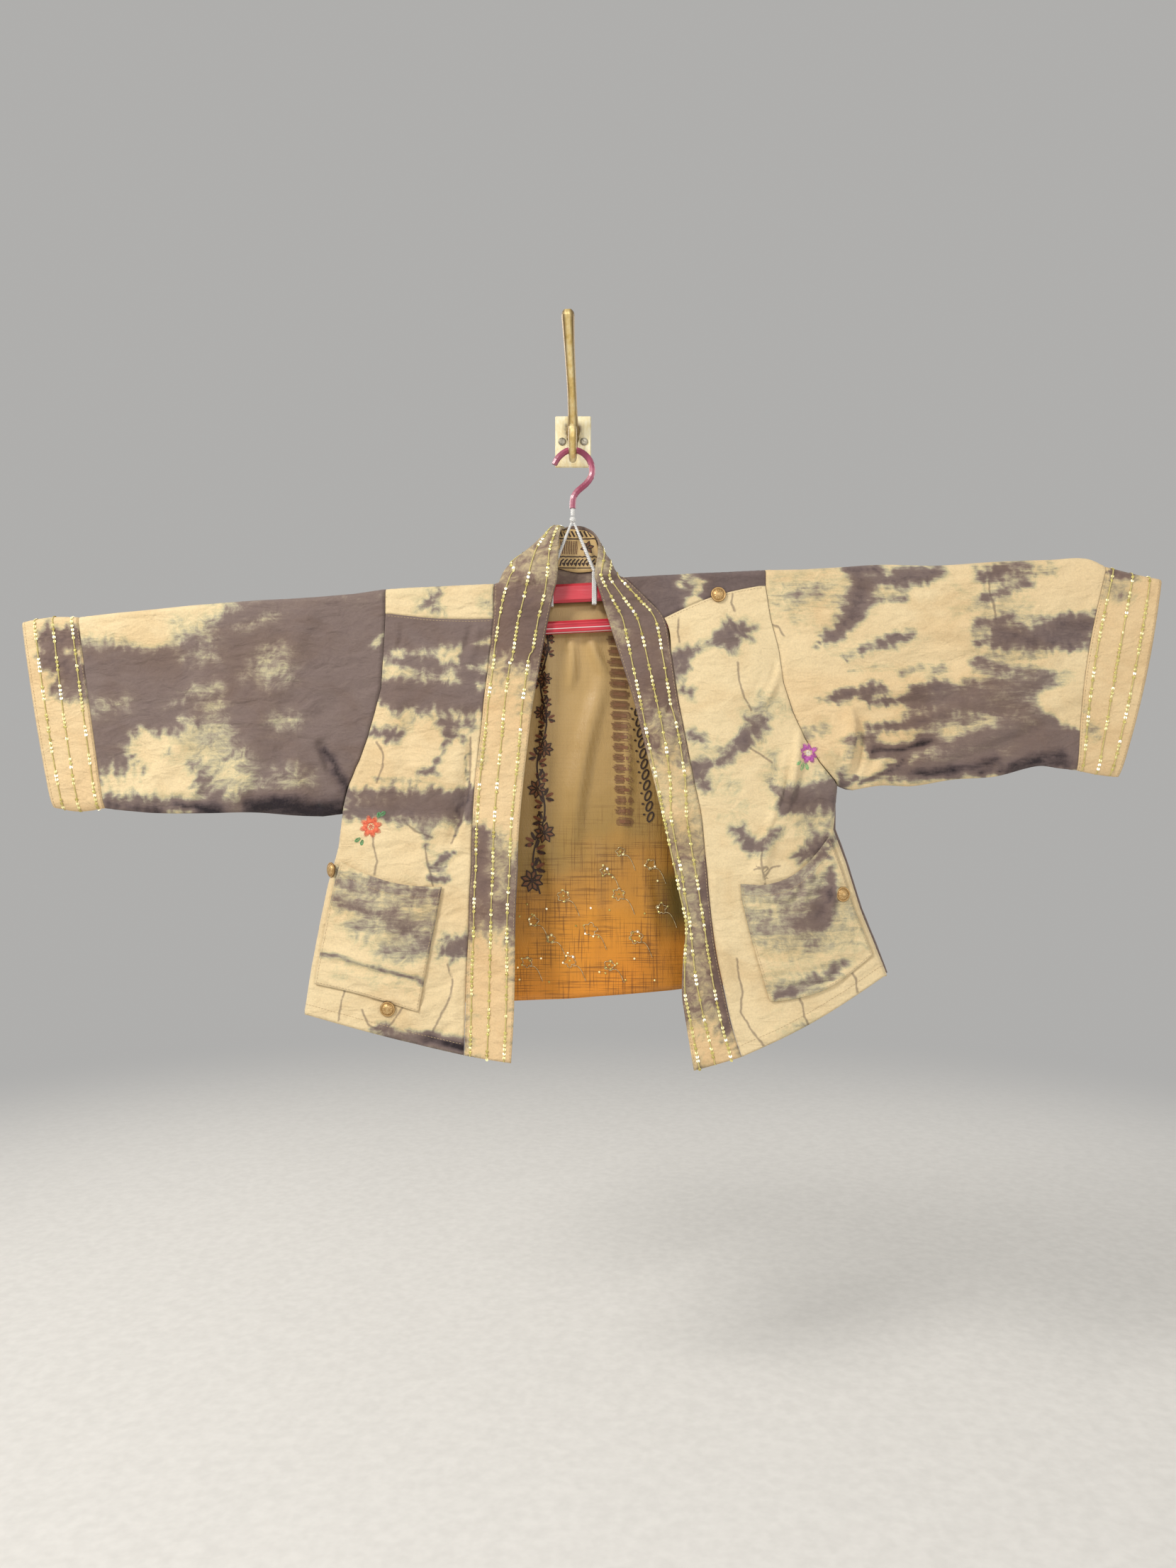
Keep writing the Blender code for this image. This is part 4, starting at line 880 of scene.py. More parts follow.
DABS["pocket_left"] = table(
    Dab,
    # The two thin strokes along the pocket's lower fold paint its shade.
    (500, 1262, 620, 1300, 40, 46, -0.22, 22), (451, 1348, 525, 1364, 2.5, 2, 0.7, 6),
    (525, 1364, 599, 1387, 1.5, 3, DARK_DYE_AND_SHADOW, 5), (482, 1243, 626, 1262, 8, 11, 0.42, 16),
    (470, 1266, 556, 1300, 6, 8, 0.5, 14), (556, 1300, 622, 1338, 7, 10, 0.56, 16),
    (505, 1310, 560, 1345, 12, 12, 0.05, 24), (540, 1340, 615, 1345, 4, 8, 0.3, 14),
    (480, 1372, 590, 1396, 6, 6, -0.3, 20),
)
DABS["pocket_right"] = table(
    Dab,
    (1070, 1260, 1190, 1300, 60, 50, -0.28, 20), (1090, 1370, 1210, 1340, 16, 14, -0.62, 20),
    (1050, 1255, 1140, 1262, 20, 18, 0.1, 16), (1056, 1290, 1130, 1296, 20, 20, 0.12, 20),
    (1064, 1322, 1140, 1330, 14, 14, -0.02, 22), (1060, 1276, 1092, 1278, 5, 6, -0.85, 9),
    (1100, 1244, 1140, 1232, 6, 9, 0.42, 12), (1150, 1215, 1172, 1190, 7, 9, TAUPE, 12),
    # These two near-black strokes paint the shade of the deep fold at the pocket's right.
    (1179, 1228, 1168, 1262, 3, 7, 1.3, 9), (1168, 1262, 1152, 1298, 7, 8, 1.2, 9),
    (1152, 1298, 1122, 1306, 8, 6, TAUPE, 12), (1120, 1397, 1192, 1360, 5, 6, 0.62, 9),
    (1086, 1390, 1160, 1396, 10, 8, 0.08, 14), (1092, 1404, 1116, 1400, 3, 4, DARK_DYE_AND_SHADOW, 7),
)

BACK_TONES = (CREAM, PALE, DEEP, CREAM, TAUPE)
BACK_DABS = [
    Dab(*ends, 9 + 7 * (k % 4), 9 + 8 * (k % 3), BACK_TONES[k % 5], 16 + 4 * (k % 3))
    for k, ends in enumerate(unseen(75, 12, 210, 0.15))
]
print(sum(len(dabs) for dabs in DABS.values()), "dabs of dye in front")

# %% Paint the dabs
FEATHER = 2.5
FEATHERS = ((13.0, 0.30), (31.0, 0.25))
WANDER_BROAD = 7.0
WANDER_FINE = 4.0
BACK_WANDER = 3.2
WANDER_SEED = 4

# noise_vector shifts by a seed, which comes from the clock unless it is set.
noise.seed_set(WANDER_SEED)


def wandered(points, u, v):
    """Picture places moved a little by noise, so that dabs get uneven shapes."""
    flat = points.reshape(-1, 3)
    moves = np.empty((len(flat), 2))
    for k, (x, y, z) in enumerate(flat):
        broad = noise.noise_vector((x / 38, y / 60, z / 26))
        fine = noise.noise_vector((x / 17, y / 60, z / 9))
        moves[k, 0] = WANDER_BROAD * broad.x + 1.6 * WANDER_FINE * fine.x
        moves[k, 1] = WANDER_BROAD * broad.z + 0.6 * WANDER_FINE * fine.z
    moves = moves.reshape(*u.shape, 2)
    return u + moves[..., 0], v + moves[..., 1]


def paint(tone, dabs, u, v):
    """Lay the dabs over the tone, one after the other."""
    for dab in dabs:
        share, _, length = beside(u, v, *dab[:4])
        share = np.clip(share, 0, 1)
        off_u = u - dab.u0 - (dab.u1 - dab.u0) * share
        off_v = v - dab.v0 - (dab.v1 - dab.v0) * share
        away = np.hypot(off_u, off_v) - mix(dab.width0, dab.width1, share)
        turn = np.arctan2(off_v, off_u)
        # Painted fold shade, darker than deep taupe, keeps a plain edge without feathers.
        for period, spike in FEATHERS if dab.tone <= DEEP else ():
            round_the_end = max(2, round(2 * pi * dab.width0 / period))
            phase = round_the_end * turn + 2 * pi * length * share / period + dab.u0
            away = away + spike * min(dab.soft, 1.2 * dab.width1) * np.sin(phase)
        cover = np.clip(0.5 - away / (FEATHER * dab.soft), 0, 1)
        cover = cover * cover * (3 - 2 * cover)
        tone = tone + (dab.tone - tone) * cover
    return tone


# %% [markdown]
# Thin branching cracks of dye run through the cream. A crack keeps its
# signed distance on the cloth's points, which stays exact between them, and
# a second number says where it is near. The material draws the line itself.

# %% Cracks of dye
CRACKS = {
    "front_left": (
        ((533, 1050), (541, 1064), (540, 1080), (533, 1100)),
        ((526, 1182), (528, 1200), (532, 1214), (529, 1230)),
        ((570, 1158), (585, 1172), (606, 1180)),
        ((600, 1196), (602, 1212), (607, 1232), (610, 1246)),
        ((632, 1364), (638, 1384), (636, 1404), (624, 1428), (612, 1452)),
        ((487, 1394), (482, 1412), (478, 1436)),
        ((570, 1418), (556, 1440), (545, 1452), (536, 1456)),
        ((512, 1428), (520, 1446), (532, 1452)),
        # This last line paints the shade in the crease down the left front.
        ((664, 1044), (661, 1104), (650, 1150), (638, 1186)),
    ),
    "front_right": (
        ((1033, 842), (1032, 850), (1035, 858)),
        ((1041, 938), (1043, 962), (1050, 984), (1058, 999)),
        ((1075, 1200), (1074, 1220), (1078, 1244)), ((1078, 1238), (1088, 1224), (1096, 1222)),
        ((1068, 1226), (1080, 1224)),
        ((1040, 1356), (1042, 1378), (1048, 1398), (1045, 1428), (1058, 1450), (1078, 1476)),
        ((1125, 1404), (1132, 1416), (1134, 1432), (1140, 1446)),
        ((1200, 1370), (1207, 1380), (1209, 1396)), ((957, 876), (956, 890), (958, 902)),
        ((1062, 1058), (1076, 1066), (1086, 1074)),
    ),
    "sleeve_right": (
        ((1085, 880), (1098, 884), (1104, 894)),
        ((1396, 822), (1397, 838), (1402, 852), (1404, 870)),
    ),
    "behind": [
        ((u0, v0), ((u0 + u1) / 2 + 7, (v0 + v1) / 2), (u1, v1))
        for u0, v0, u1, v1 in unseen(9, 3, 70, 1.5)
    ],
}
CRACK_REACH = 14.0


def crack_distance(cracks, u, v):
    """Signed distance to the nearest crack, and how near it is, from 0 to 1."""
    signed = np.full_like(u, CRACK_REACH)
    nearest = np.full_like(u, CRACK_REACH)
    for crack in cracks:
        for start, end in zip(crack, crack[1:]):
            share, across, length = beside(u, v, *start, *end)
            beyond = (np.clip(share, 0, 1) - share) * length
            away = np.hypot(across, beyond)
            closer = away < nearest
            nearest = np.where(closer, away, nearest)
            signed = np.where(closer, across, signed)
    return signed, 1 - nearest / CRACK_REACH


# %% [markdown]
# ## Laying one sheet of cloth
#
# A sheet starts as a flat grid whose points move to the form, out by the
# creases and in along the seams, where stitches pull the cloth down and
# pucker it. A Solidify modifier then gives it the thickness of the cloth.

# %% Lay a sheet
Laid = namedtuple("Laid", "piece points outward area")
SEAM_PULL = 0.3
SEAM_WIDTH = 3.0
PUCKER = 0.45
PUCKER_LENGTH = 9.0
CALM_EDGE = 12.0


def outward_of(points, closed, flip):
    """The direction straight out of the cloth at each point of its grid."""
    along = np.gradient(points, axis=0)
    across = np.gradient(points, axis=1)
    if closed:
        across[:, 0] = across[:, -1] = (points[:, 1] - points[:, -2]) / 2
    out = np.cross(across, along)
    if flip:
        out = -out
    length = np.linalg.norm(out, axis=2, keepdims=True)
    return out / np.maximum(length, 1e-9)


def steps_along(points, axis):
    """How far each point lies from the grid's first edge, along the cloth."""
    step = np.linalg.norm(np.diff(points, axis=axis), axis=2)
    way = np.cumsum(step, axis=axis)
    pad = [(0, 0), (0, 0)]
    pad[axis] = (1, 0)
    return np.pad(way, pad)


def flat_area(points):
    """The cloth's area in square metres."""
    a, b, c, d = points[:-1, :-1], points[:-1, 1:], points[1:, 1:], points[1:, :-1]
    doubled = [np.linalg.norm(both, axis=2).sum() for both in
               (np.cross(d - a, b - a), np.cross(c - b, c - d))]
    return float(sum(doubled)) / 2 * MM * MM


def put(name, data, finish, slot, *nodes):
    """Link a piece, let it ride on the garment, and stand for its solid."""
    data.materials.append(finish.material)
    piece = placed(name, data)
    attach(piece, "root")
    if nodes:
        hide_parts(*nodes)
    return piece


panels = {}


def lay(name, rows, finish, wall=1.0, closed=False, flip=False, calm=1.0,
        creases=FRONT_CREASES, base=0.0, back_base=None, warm=0.3, along=0.25,
        least=-9.0, slot="tie_dyed_cloth"):
    """A sheet of cloth on a grid of points, with its creases and its dye."""
    points = np.array([[tuple(point) for point in row] for row in rows])
    out = outward_of(points, closed, flip)
    u, v = seen_at(points)
    facing = np.clip(0.5 - out[..., 1] / 0.7, 0, 1)
    from_start = steps_along(points, 0)
    from_side = steps_along(points, 1)
    edge = np.minimum(from_start, from_start[-1] - from_start)
    if not closed:
        edge = np.minimum(edge, np.minimum(from_side, from_side[:, -1:] - from_side))

    lift = facing * crease_lift(creases, u, v)
    lift += (1 - facing) * crease_lift(BACK_CREASES, u, v)
    lift += wrinkle_lift(points, (facing < 0.5).ravel())
    lift *= calm * np.clip(np.abs(out[..., 1]) * 1.3, 0.15, 1)
    lift *= mix(0.35, 1, np.clip(edge / CALM_EDGE, 0, 1))
    seam = np.exp(-(edge / SEAM_WIDTH) ** 2)
    waves = np.sin(2 * pi * (from_start + from_side) / PUCKER_LENGTH + u / 31)
    lift -= SEAM_PULL * seam
    lift += PUCKER * np.exp(-edge / PUCKER_LENGTH) * waves * (1 - seam)
    lift = np.where(lift < 0, least * np.tanh(lift / (least - 1e-9)), lift)
    points = points + out * lift[..., None]
    if closed:
        points[:, -1] = points[:, 0]

    dye_u, dye_v = wandered(points, u, v)
    front_tone = paint(np.full_like(u, base), DABS.get(name, ()), dye_u, dye_v)
    behind = base if back_base is None else back_base
    back_u, back_v = mix(u, dye_u, BACK_WANDER), mix(v, dye_v, BACK_WANDER)
    back_tone = paint(np.full_like(u, behind), BACK_DABS, back_u, back_v)
    tone = mix(back_tone, front_tone, facing)
    signed, near = crack_distance(CRACKS.get(name, ()), u, v)
    signed_back, near_back = crack_distance(CRACKS["behind"], u, v)
    front = facing > 0.5
    fields = {
        "tone": tone,
        "warm": np.full_like(u, warm),
        "along": np.full_like(u, along),
        "crack": np.where(front, signed, signed_back),
        "crack_near": np.where(front, near, near_back),
        "edge": np.minimum(edge, 30.0),
    }
    across_uv = from_side * MM
    along_uv = np.repeat(from_start.mean(axis=1, keepdims=True), u.shape[1], 1) * MM
    mesh = sheet_mesh(name, points, across_uv, along_uv, fields, closed, flip)
    piece = put(f"{name}_cloth", mesh, finish, slot, name)
    thick = piece.modifiers.new("Wall", "SOLIDIFY")
    thick.thickness = wall * MM
    thick.offset = -1
    thick.use_even_offset = False
    area = flat_area(points)
    width, length = (way.max() * MM for way in (from_side[:, -1], from_start[-1]))
    print(f"{name}: {width:.3f} x {length:.3f} m, {area:.4f} m2")
    panels[name] = Laid(piece, points, outward_of(points, closed, flip), area)


def sheet_mesh(name, points, across_uv, along_uv, fields, closed, flip):
    """The grid of points as a smooth mesh with its UV map and its fields."""
    tall, wide = points.shape[0] - 1, points.shape[1] - 1
    form = bmesh.new()
    bmesh.ops.create_grid(form, x_segments=wide, y_segments=tall, size=0.5)
    for field in fields:
        form.verts.layers.float.new(field)
    uv = form.loops.layers.uv.new("cloth")
    layers = {field: form.verts.layers.float[field] for field in fields}
    form.verts.ensure_lookup_table()
    where = []
    for vert in form.verts:
        i = round((vert.co.x + 0.5) * wide)
        j = round((vert.co.y + 0.5) * tall)
        where.append((j, i))
        vert.co = points[j, i] * MM
        for field, values in fields.items():
            vert[layers[field]] = float(values[j, i])
    form.verts.index_update()
    for face in form.faces:
        for loop in face.loops:
            place = where[loop.vert.index]
            loop[uv].uv = (across_uv[place], along_uv[place])
    if closed:
        bmesh.ops.remove_doubles(form, verts=form.verts, dist=0.002 * MM)
    if flip:
        bmesh.ops.reverse_faces(form, faces=form.faces)
    return mesh_of(form, name)


# %% [markdown]
# ## The dyed cotton
#
# One material serves every outer piece, because they are cut from one kind
# of cloth. Its colour reads the tone on the points, roughened by streaks
# that run across the cloth, and its bump holds the weave and fine crumples.

# %% Dyed cotton
cotton = Finish(
    "dyed_cotton", Roughness=0.86, Specular_IOR_Level=0.25,
    Sheen_Weight=0.12, Sheen_Roughness=0.5,
)
# The stops past deep taupe give the near-black painted fold shade.
COTTON_STOPS = (
    (0.00, 243, 223, 180),
    (0.24, 238, 216, 172),
    (0.36, 220, 206, 164),
    (0.47, 188, 180, 152),
    (0.58, 156, 143, 130),
    (0.68, 133, 117, 110),
    (0.80, 124, 108, 104),
    (0.87, 104, 90, 90),
    (0.97, 40, 33, 40),
)

field = cotton.attribute("tone")
along = cotton.attribute("along")
long_streaks = cotton.noise((18, 20, 130), 3, 0.6, 0.6)
short_streaks = cotton.noise((70, 60, 300), 3, 0.65, 0.4)
branches = cotton.noise((48, 48, 54), 7, 0.68, 1.4)
blots = cotton.noise((60, 60, 70), 5, 0.65, 0.8)
grain = cotton.noise(300, 2)
clouds = cotton.noise((14, 14, 17), 4, 0.6, 0.4)
streaks = (long_streaks - 0.5) * 3.4 + (short_streaks - 0.5) * 2.0
ragged = streaks * along + (branches - 0.5) * (4.8 - along * 3.0)
edge_of_dye = field.between(-1.0, -0.45) * (1 - field.between(0.25, 0.9) * (0.95 - along * 0.25))
tone = field + ragged * edge_of_dye * 0.66 + (blots - 0.5) * 0.22 + (grain - 0.5) * 0.16
tone = tone + clouds.between(0.5, 0.75) * (1 - field.between(-0.9, -0.3)) * 0.34
color = cotton.ramp(tone / 3 + 0.5, COTTON_STOPS)

cloudy = cotton.noise((7, 7, 9))
peach = (cotton.attribute("warm") + (cloudy - 0.5) * 0.9).between(0.1, 1.0)
color = cotton.blend(peach * 0.8, color, tint(248, 228, 212), "MULTIPLY")

crack_noise = (cotton.noise(120) - 0.5) * 4.0
crack_line = abs(cotton.attribute("crack") + crack_noise)
crack_mask = (1 - crack_line.between(0.3, 2.6)) * cotton.attribute("crack_near").between(0.5, 0.75)
crack_mask = crack_mask * cotton.noise(110, 2).between(0.22, 0.42)
color = cotton.blend(crack_mask * 0.62, color, tint(112, 96, 90))

shade = cotton.noise((11, 11, 16), 4, 0.6, 0.6, shift=(3, 0, 1))
color = cotton.blend(shade.between(0.42, 0.7) * 0.5, color, tint(232, 220, 206), "MULTIPLY")
specks = cotton.noise(520, 2).between(0.3, 0.7)
color = cotton.blend(0.10 * (1 - specks), color, tint(90, 76, 66))
# Painted shade: a faint darker line along every seam and hem.
seam_shade_mask = 1 - cotton.attribute("edge").between(0.2, 2.6)
color = cotton.blend(seam_shade_mask * 0.06, color, tint(120, 98, 76))
cotton.link("Base Color", color)

weft, warp, _ = cotton.parts(uv="cloth", scale=(9000, 9000, 1))
threads = weft.sine() * warp.sine()
crumple = cotton.noise((60, 60, 100), 4, 0.55, 0.5)
crinkle = cotton.noise((22, 22, 46), 3, 0.5, 0.8)
cotton.bump(threads * 0.03 + crumple * 1.0 + crinkle * 2.2, 0.0022)
print("dyed cotton has", len(cotton.tree.nodes), "nodes")

# %% [markdown]
# ## Fronts, yokes and back
#
# The body is five flat panels. Each is a finer grid of the same surface as
# its solid.

# %% Body panels
EDGE_TURNS = (0.14, 0.28, 0.42, 0.56, 0.7, 0.84, 1.0)


def front_line(rows, t, columns):
    """Points across a front panel at station t, from the band to the armhole."""
    line = front_points(rows, t, shares_of(columns))
    return line + [edge_point(rows, t, turn) for turn in EDGE_TURNS]


FRONT_COLUMNS = 52
for name, rows, base, warm in (
    ("front_left", LEFT, CREAM, 0.22), ("front_right", RIGHT, CREAM, 0.12)
):
    grid = [front_line(rows, t, FRONT_COLUMNS) for t in stations_of(YOKE_SEAM, HEM, 14)]
    lay(name, grid, cotton, flip=rows is RIGHT, base=base, warm=warm)


def yoke_line(rows, degrees, seam_x):
    """Points across a yoke where it rolls over the bar."""
    side_x = rows[0].side_x + inward(rows) * SEAM_GAP / 2
    near_x = side_x + inward(rows) * EDGE_ROLL
    start_x = seam_x - inward(rows) * (YOKE_BACK_GAP if degrees < 0 else SEAM_GAP)
    across = [mix(start_x, near_x, share) for share in shares_of(FRONT_COLUMNS)]
    across += [side_x + inward(rows) * EDGE_ROLL * (1 - turn) for turn in EDGE_TURNS]
    return [rolled(x, degrees) for x in across]


YOKE_DEGREES = (-90, -68, -45, -22, 0, 22, 45, 68, 90)
for name, rows, turns, neck, base in (
    ("yoke_left", LEFT, LEFT_TURNS, NECK[:3], CREAM),
    ("yoke_right", RIGHT, RIGHT_TURNS, NECK[:-4:-1], DEEP),
):
    known = [row.degrees for row in neck[:0:-1]] + [turn.degrees for turn in turns]
    seams = [row.seam_x for row in neck[:0:-1]] + [turn.seam_x for turn in turns]
    grid = [yoke_line(rows, angle, np.interp(angle, known, seams)) for angle in YOKE_DEGREES]
    grid += [front_line(rows, t, FRONT_COLUMNS) for t in stations_of(2, YOKE_SEAM, 9)[1:]]
    lay(name, grid, cotton, flip=rows is RIGHT, base=base, warm=0.15)


BACK_COLUMNS = 110
grid = []
for t in stations_of(2, HEM, 7):
    left = [edge_point(LEFT, t, turn, back=True) for turn in reversed(EDGE_TURNS)]
    right = [edge_point(RIGHT, t, turn, back=True) for turn in EDGE_TURNS]
    line = left + back_points(t, shares_of(BACK_COLUMNS)) + right
    if t == 2:
        for point in line:
            point.z -= BACK_SEAM_DROP
    grid.append(line)
lay("back_panel", grid, cotton, base=TAUPE, back_base=TAUPE - 0.1, least=-1.3)

# %% [markdown]
# ## Sleeves and cuffs
#
# A sleeve is a tube that hangs almost flat. Its ring rolls over the
# shoulder's ridge, runs down the front, turns at the underside and comes up
# behind. The ring at the armhole follows the body's own edge.


# %% Sleeve rings
def ring_steps(rows):
    """How far down the armhole, and how full, the ring is at each step."""
    top = rows[0].side_z
    depth = top - rows[UNDERARM].side_z
    turn_depth = rows[ARMHOLE_SHEET].side_z - rows[UNDERARM].side_z
    steps = []
    for k in range(9):
        angle = k / 8 * pi / 2
        steps.append((k / 4, (1 - cos(angle)) * SHOULDER_ROLL / depth, 0.95 * sin(angle)))
    for k in range(1, 68):
        t = mix(2, ARMHOLE_SHEET, k / 68)
        low = int(t)
        z = mix(rows[low].side_z, rows[low + 1].side_z, t - low)
        full = min(1.0, 0.95 + 0.05 * min(t - 2, ARMHOLE_SHEET - t))
        steps.append((t, (top - z) / depth, full))
    for k in range(13):
        angle = (1 - k / 12) * pi / 2
        t = mix(ARMHOLE_SHEET, UNDERARM, k / 12)
        steps.append((t, 1 - (1 - cos(angle)) * turn_depth / depth, 0.95 * sin(angle)))
    return steps


def ring(steps, section, folds):
    """A closed loop round a sleeve or cuff: down its front and up its back."""
    loop = []
    for behind, run in ((False, steps), (True, steps[-2::-1])):
        face_y = section.back_y if behind else section.front_y
        for _, share, full in run:
            x = mix(section.top_x, section.bottom_x, share) + section.bow * sin(pi * share)
            z = mix(section.top_z, section.bottom_z, share)
            lift = fold_height(folds, x, z) * full
            y = mix(BAR_Y, face_y, full) - (0.6 * -lift if behind else lift)
            loop.append(Vector((x, y, z)))
    return loop


def armhole_ring(rows, steps):
    """The sleeve's end at the armhole, on the body's own edge."""
    out = Vector((-inward(rows) * SEAM_GAP, 0, 0))
    loop = []
    for behind, run in ((False, steps), (True, steps[-2::-1])):
        for t, _, _ in run:
            if t < 2:
                point = rolled(rows[0].side_x, -45 * t if behind else 45 * t)
            else:
                point = edge_line(rows, t, behind)
            loop.append(point + out)
    return loop


# %% Sleeves and cuffs
SLEEVE_STEP = 3.2


def tube_rings(steps, sections, finer, folds):
    """Rings along a sleeve or cuff, with finer steps between its sections."""
    knots = [abs(section.top_x + section.bottom_x) / 2 for section in sections]
    stations = stations_of(0, len(sections) - 1, finer)
    return [ring(steps, Section(*smooth(sections, knots, t)), folds) for t in stations]


for side, rows, sleeve, cuff, folds, base, back_base, warm, along in (
    ("left", LEFT, LEFT_SLEEVE, LEFT_CUFF, LEFT_SLEEVE_FOLDS, 0.8, 0.75, 0.15, 0.45),
    ("right", RIGHT, RIGHT_SLEEVE, RIGHT_CUFF, RIGHT_SLEEVE_FOLDS, CREAM, CREAM, 0.36, 0.85),
):
    steps = ring_steps(rows)
    hole = armhole_ring(rows, steps)
    first = ring(steps, sleeve[0], folds)
    grid = [[a.lerp(b, share) for a, b in zip(hole, first)] for share in shares_of(9)[:-1]]
    last = len(sleeve) - 1
    long = abs(sleeve[last].top_x + sleeve[last].bottom_x) / 2
    long -= abs(sleeve[0].top_x + sleeve[0].bottom_x) / 2
    grid += tube_rings(steps, sleeve, round(long / SLEEVE_STEP / last), folds)
    for point in grid[-1]:
        point.x += inward(rows) * SEAM_GAP
    lay(f"sleeve_{side}", grid, cotton, closed=True, flip=rows is LEFT,
        base=base, back_base=back_base, warm=warm, along=along)
    lay(f"cuff_{side}", tube_rings(steps, cuff, 9, ()), cotton, wall=1.6, closed=True,
        flip=rows is LEFT, base=CREAM + 0.1, warm=0.6, calm=0.7, along=0.4)

# %% [markdown]
# ## The neckband
#
# One long folded strip up the left front, round the neck and down the right.
# Its sections are those of the solid, with more of them on a smooth curve
# in between.


# %% Neckband
def band_section(seam, middle, free, shares):
    """Points across the band on a curve from the seam through the middle."""
    line = []
    for share in shares:
        a = (1 - share) * (1 - 2 * share)
        b = 4 * share * (1 - share)
        c = share * (2 * share - 1)
        line.append(seam * a + middle * b + free * c)
    return line


def front_band(rows, t):
    """Seam, middle and free edge of the band on one front, at station t."""
    row = station(rows, t)
    seam = Vector((row.seam_x + inward(rows) * SEAM_GAP / 2, row.seam_y, row.seam_z))
    free = Vector((row.free_x, row.free_y, row.free_z))
    middle = seam.lerp(free, 0.5) - Vector((0, BAND_PUFF, 0))
    return seam, middle, free


NECK_KNOTS = [0.0]
for k in range(1, len(NECK)):
    step = hypot(NECK[k].mid_x - NECK[k - 1].mid_x, NECK[k].mid_z - NECK[k - 1].mid_z)
    NECK_KNOTS.append(NECK_KNOTS[-1] + max(step, 6.0))


def neck_band(t):
    """Seam, middle and free edge of the band at neck section t."""
    row = NeckRow(*smooth(NECK, NECK_KNOTS, t))
    seam = rolled(row.seam_x, row.degrees)
    towards_middle = 1 if t < len(NECK) / 2 else -1
    seam.x += towards_middle * SEAM_GAP
    middle = Vector((row.mid_x, row.mid_y, row.mid_z))
    free = Vector((row.free_x, row.free_y, row.free_z))
    return seam, middle, free


def finer_rows(rows, step):
    """More rows, about step apart, on smooth curves through the given ones."""
    rows = np.array([[tuple(point) for point in row] for row in rows])
    gaps = np.linalg.norm(np.diff(rows, axis=0), axis=2).mean(axis=1)
    knots = np.concatenate([[0], np.cumsum(gaps)])
    places = []
    for j, gap in enumerate(gaps):
        count = max(1, ceil(gap / step))
        places += [j + k / count for k in range(count)]
    places.append(len(rows) - 1.0)
    return [smooth(rows, knots, t) for t in places], places


BAND_COLUMNS = 26
BAND_STEP = 4.0
down_front = [1, 2, 2.5, *range(YOKE_SEAM, HEM + 1)]
last_neck = len(NECK) - 1
round_neck = [0, 1, *stations_of(2, last_neck - 2, 2), last_neck - 1, last_neck]
sections = [front_band(LEFT, t) for t in down_front[::-1]]
sections += [neck_band(t) for t in round_neck]
sections += [front_band(RIGHT, t) for t in down_front]
grid = [band_section(*section, shares_of(BAND_COLUMNS)) for section in sections]
grid, band_places = finer_rows(grid, BAND_STEP)
lay("neckband", grid, cotton, wall=1.6, base=TAUPE - 0.3, warm=0.65, calm=0.75, along=0.3)

# %% [markdown]
# ## Patch pockets
#
# Each pocket is its front's surface moved out, and its upper edge sags.

# %% Pockets
for name, rows, pocket, creases in (
    ("pocket_left", LEFT, LEFT_POCKET, LEFT_POCKET_CREASES),
    ("pocket_right", RIGHT, RIGHT_POCKET, RIGHT_POCKET_CREASES),
):
    grid = []
    for down in shares_of(54):
        line = []
        for out in shares_of(48):
            inner = mix(pocket.inner_top, pocket.inner_base, down)
            mouth = mix(pocket.top_inner, pocket.top_outer, out)
            mouth += pocket.mouth_sag * sin(pi * out)
            base_line = mix(pocket.base_inner, pocket.base_outer, out)
            base_line += pocket.base_sag * sin(pi * out)
            t = mix(mouth, base_line, down)
            point = front_points(rows, t, [mix(inner, POCKET_OUTER, out)])[0]
            belly = POCKET_BELLY * sin(pi * out) * sin(pi * min(down + 0.15, 1))
            point.y -= CLOTH_WALL + 2 * SEAM_GAP + belly + 1.0
            line.append(point)
        grid.append(line)
    lay(name, grid, cotton, flip=rows is RIGHT, creases=creases, base=CREAM, along=0.6,
        least=-1.6)

# %% [markdown]
# ## Linings
#
# The lining is printed satin, seen through the open front.

# %% Lining sheets
satin = Finish("printed_satin", Roughness=0.42, Specular_IOR_Level=0.5, Sheen_Weight=0.1)
over, _, up = satin.parts()
mottle = satin.noise((9, 9, 14), 4, 0.6)
low = over * 0.48 - up + (mottle - 0.5) * 0.10
color = satin.ramp(low, (
    (0.10, 206, 174, 118),
    (0.40, 178, 146, 92),
    (0.52, 160, 128, 68),
    (0.585, 188, 132, 52),
    (0.64, 212, 142, 42),
    (0.72, 224, 140, 34),
))
olive = over.between(0.085, 0.135) * up.between(-0.535, -0.565)
olive = olive * (1 - up.between(-0.60, -0.65))
color = satin.blend(olive * 0.9, color, tint(58, 62, 24))
olive = over.between(0.05, 0.13) * up.between(-0.45, -0.52)
color = satin.blend(olive * 0.35, color, tint(120, 100, 40))
level_slubs = satin.noise((16, 9, 620), 2, 0.5, 0.2).between(0.50, 0.64)
upright_slubs = satin.noise((560, 9, 18), 2, 0.5, 0.2).between(0.53, 0.66)
patches = satin.noise(28).between(0.35, 0.6)
printed = low.between(0.46, 0.56) * patches * 0.5 + 0.05
color = satin.blend(level_slubs * printed, color, tint(96, 56, 20))
color = satin.blend(upright_slubs * printed, color, tint(96, 56, 20))
satin.link("Base Color", color)
satin.bump(satin.noise((1500, 300, 300), 2) * 0.3
           + satin.noise((60, 60, 20)), 0.0012)

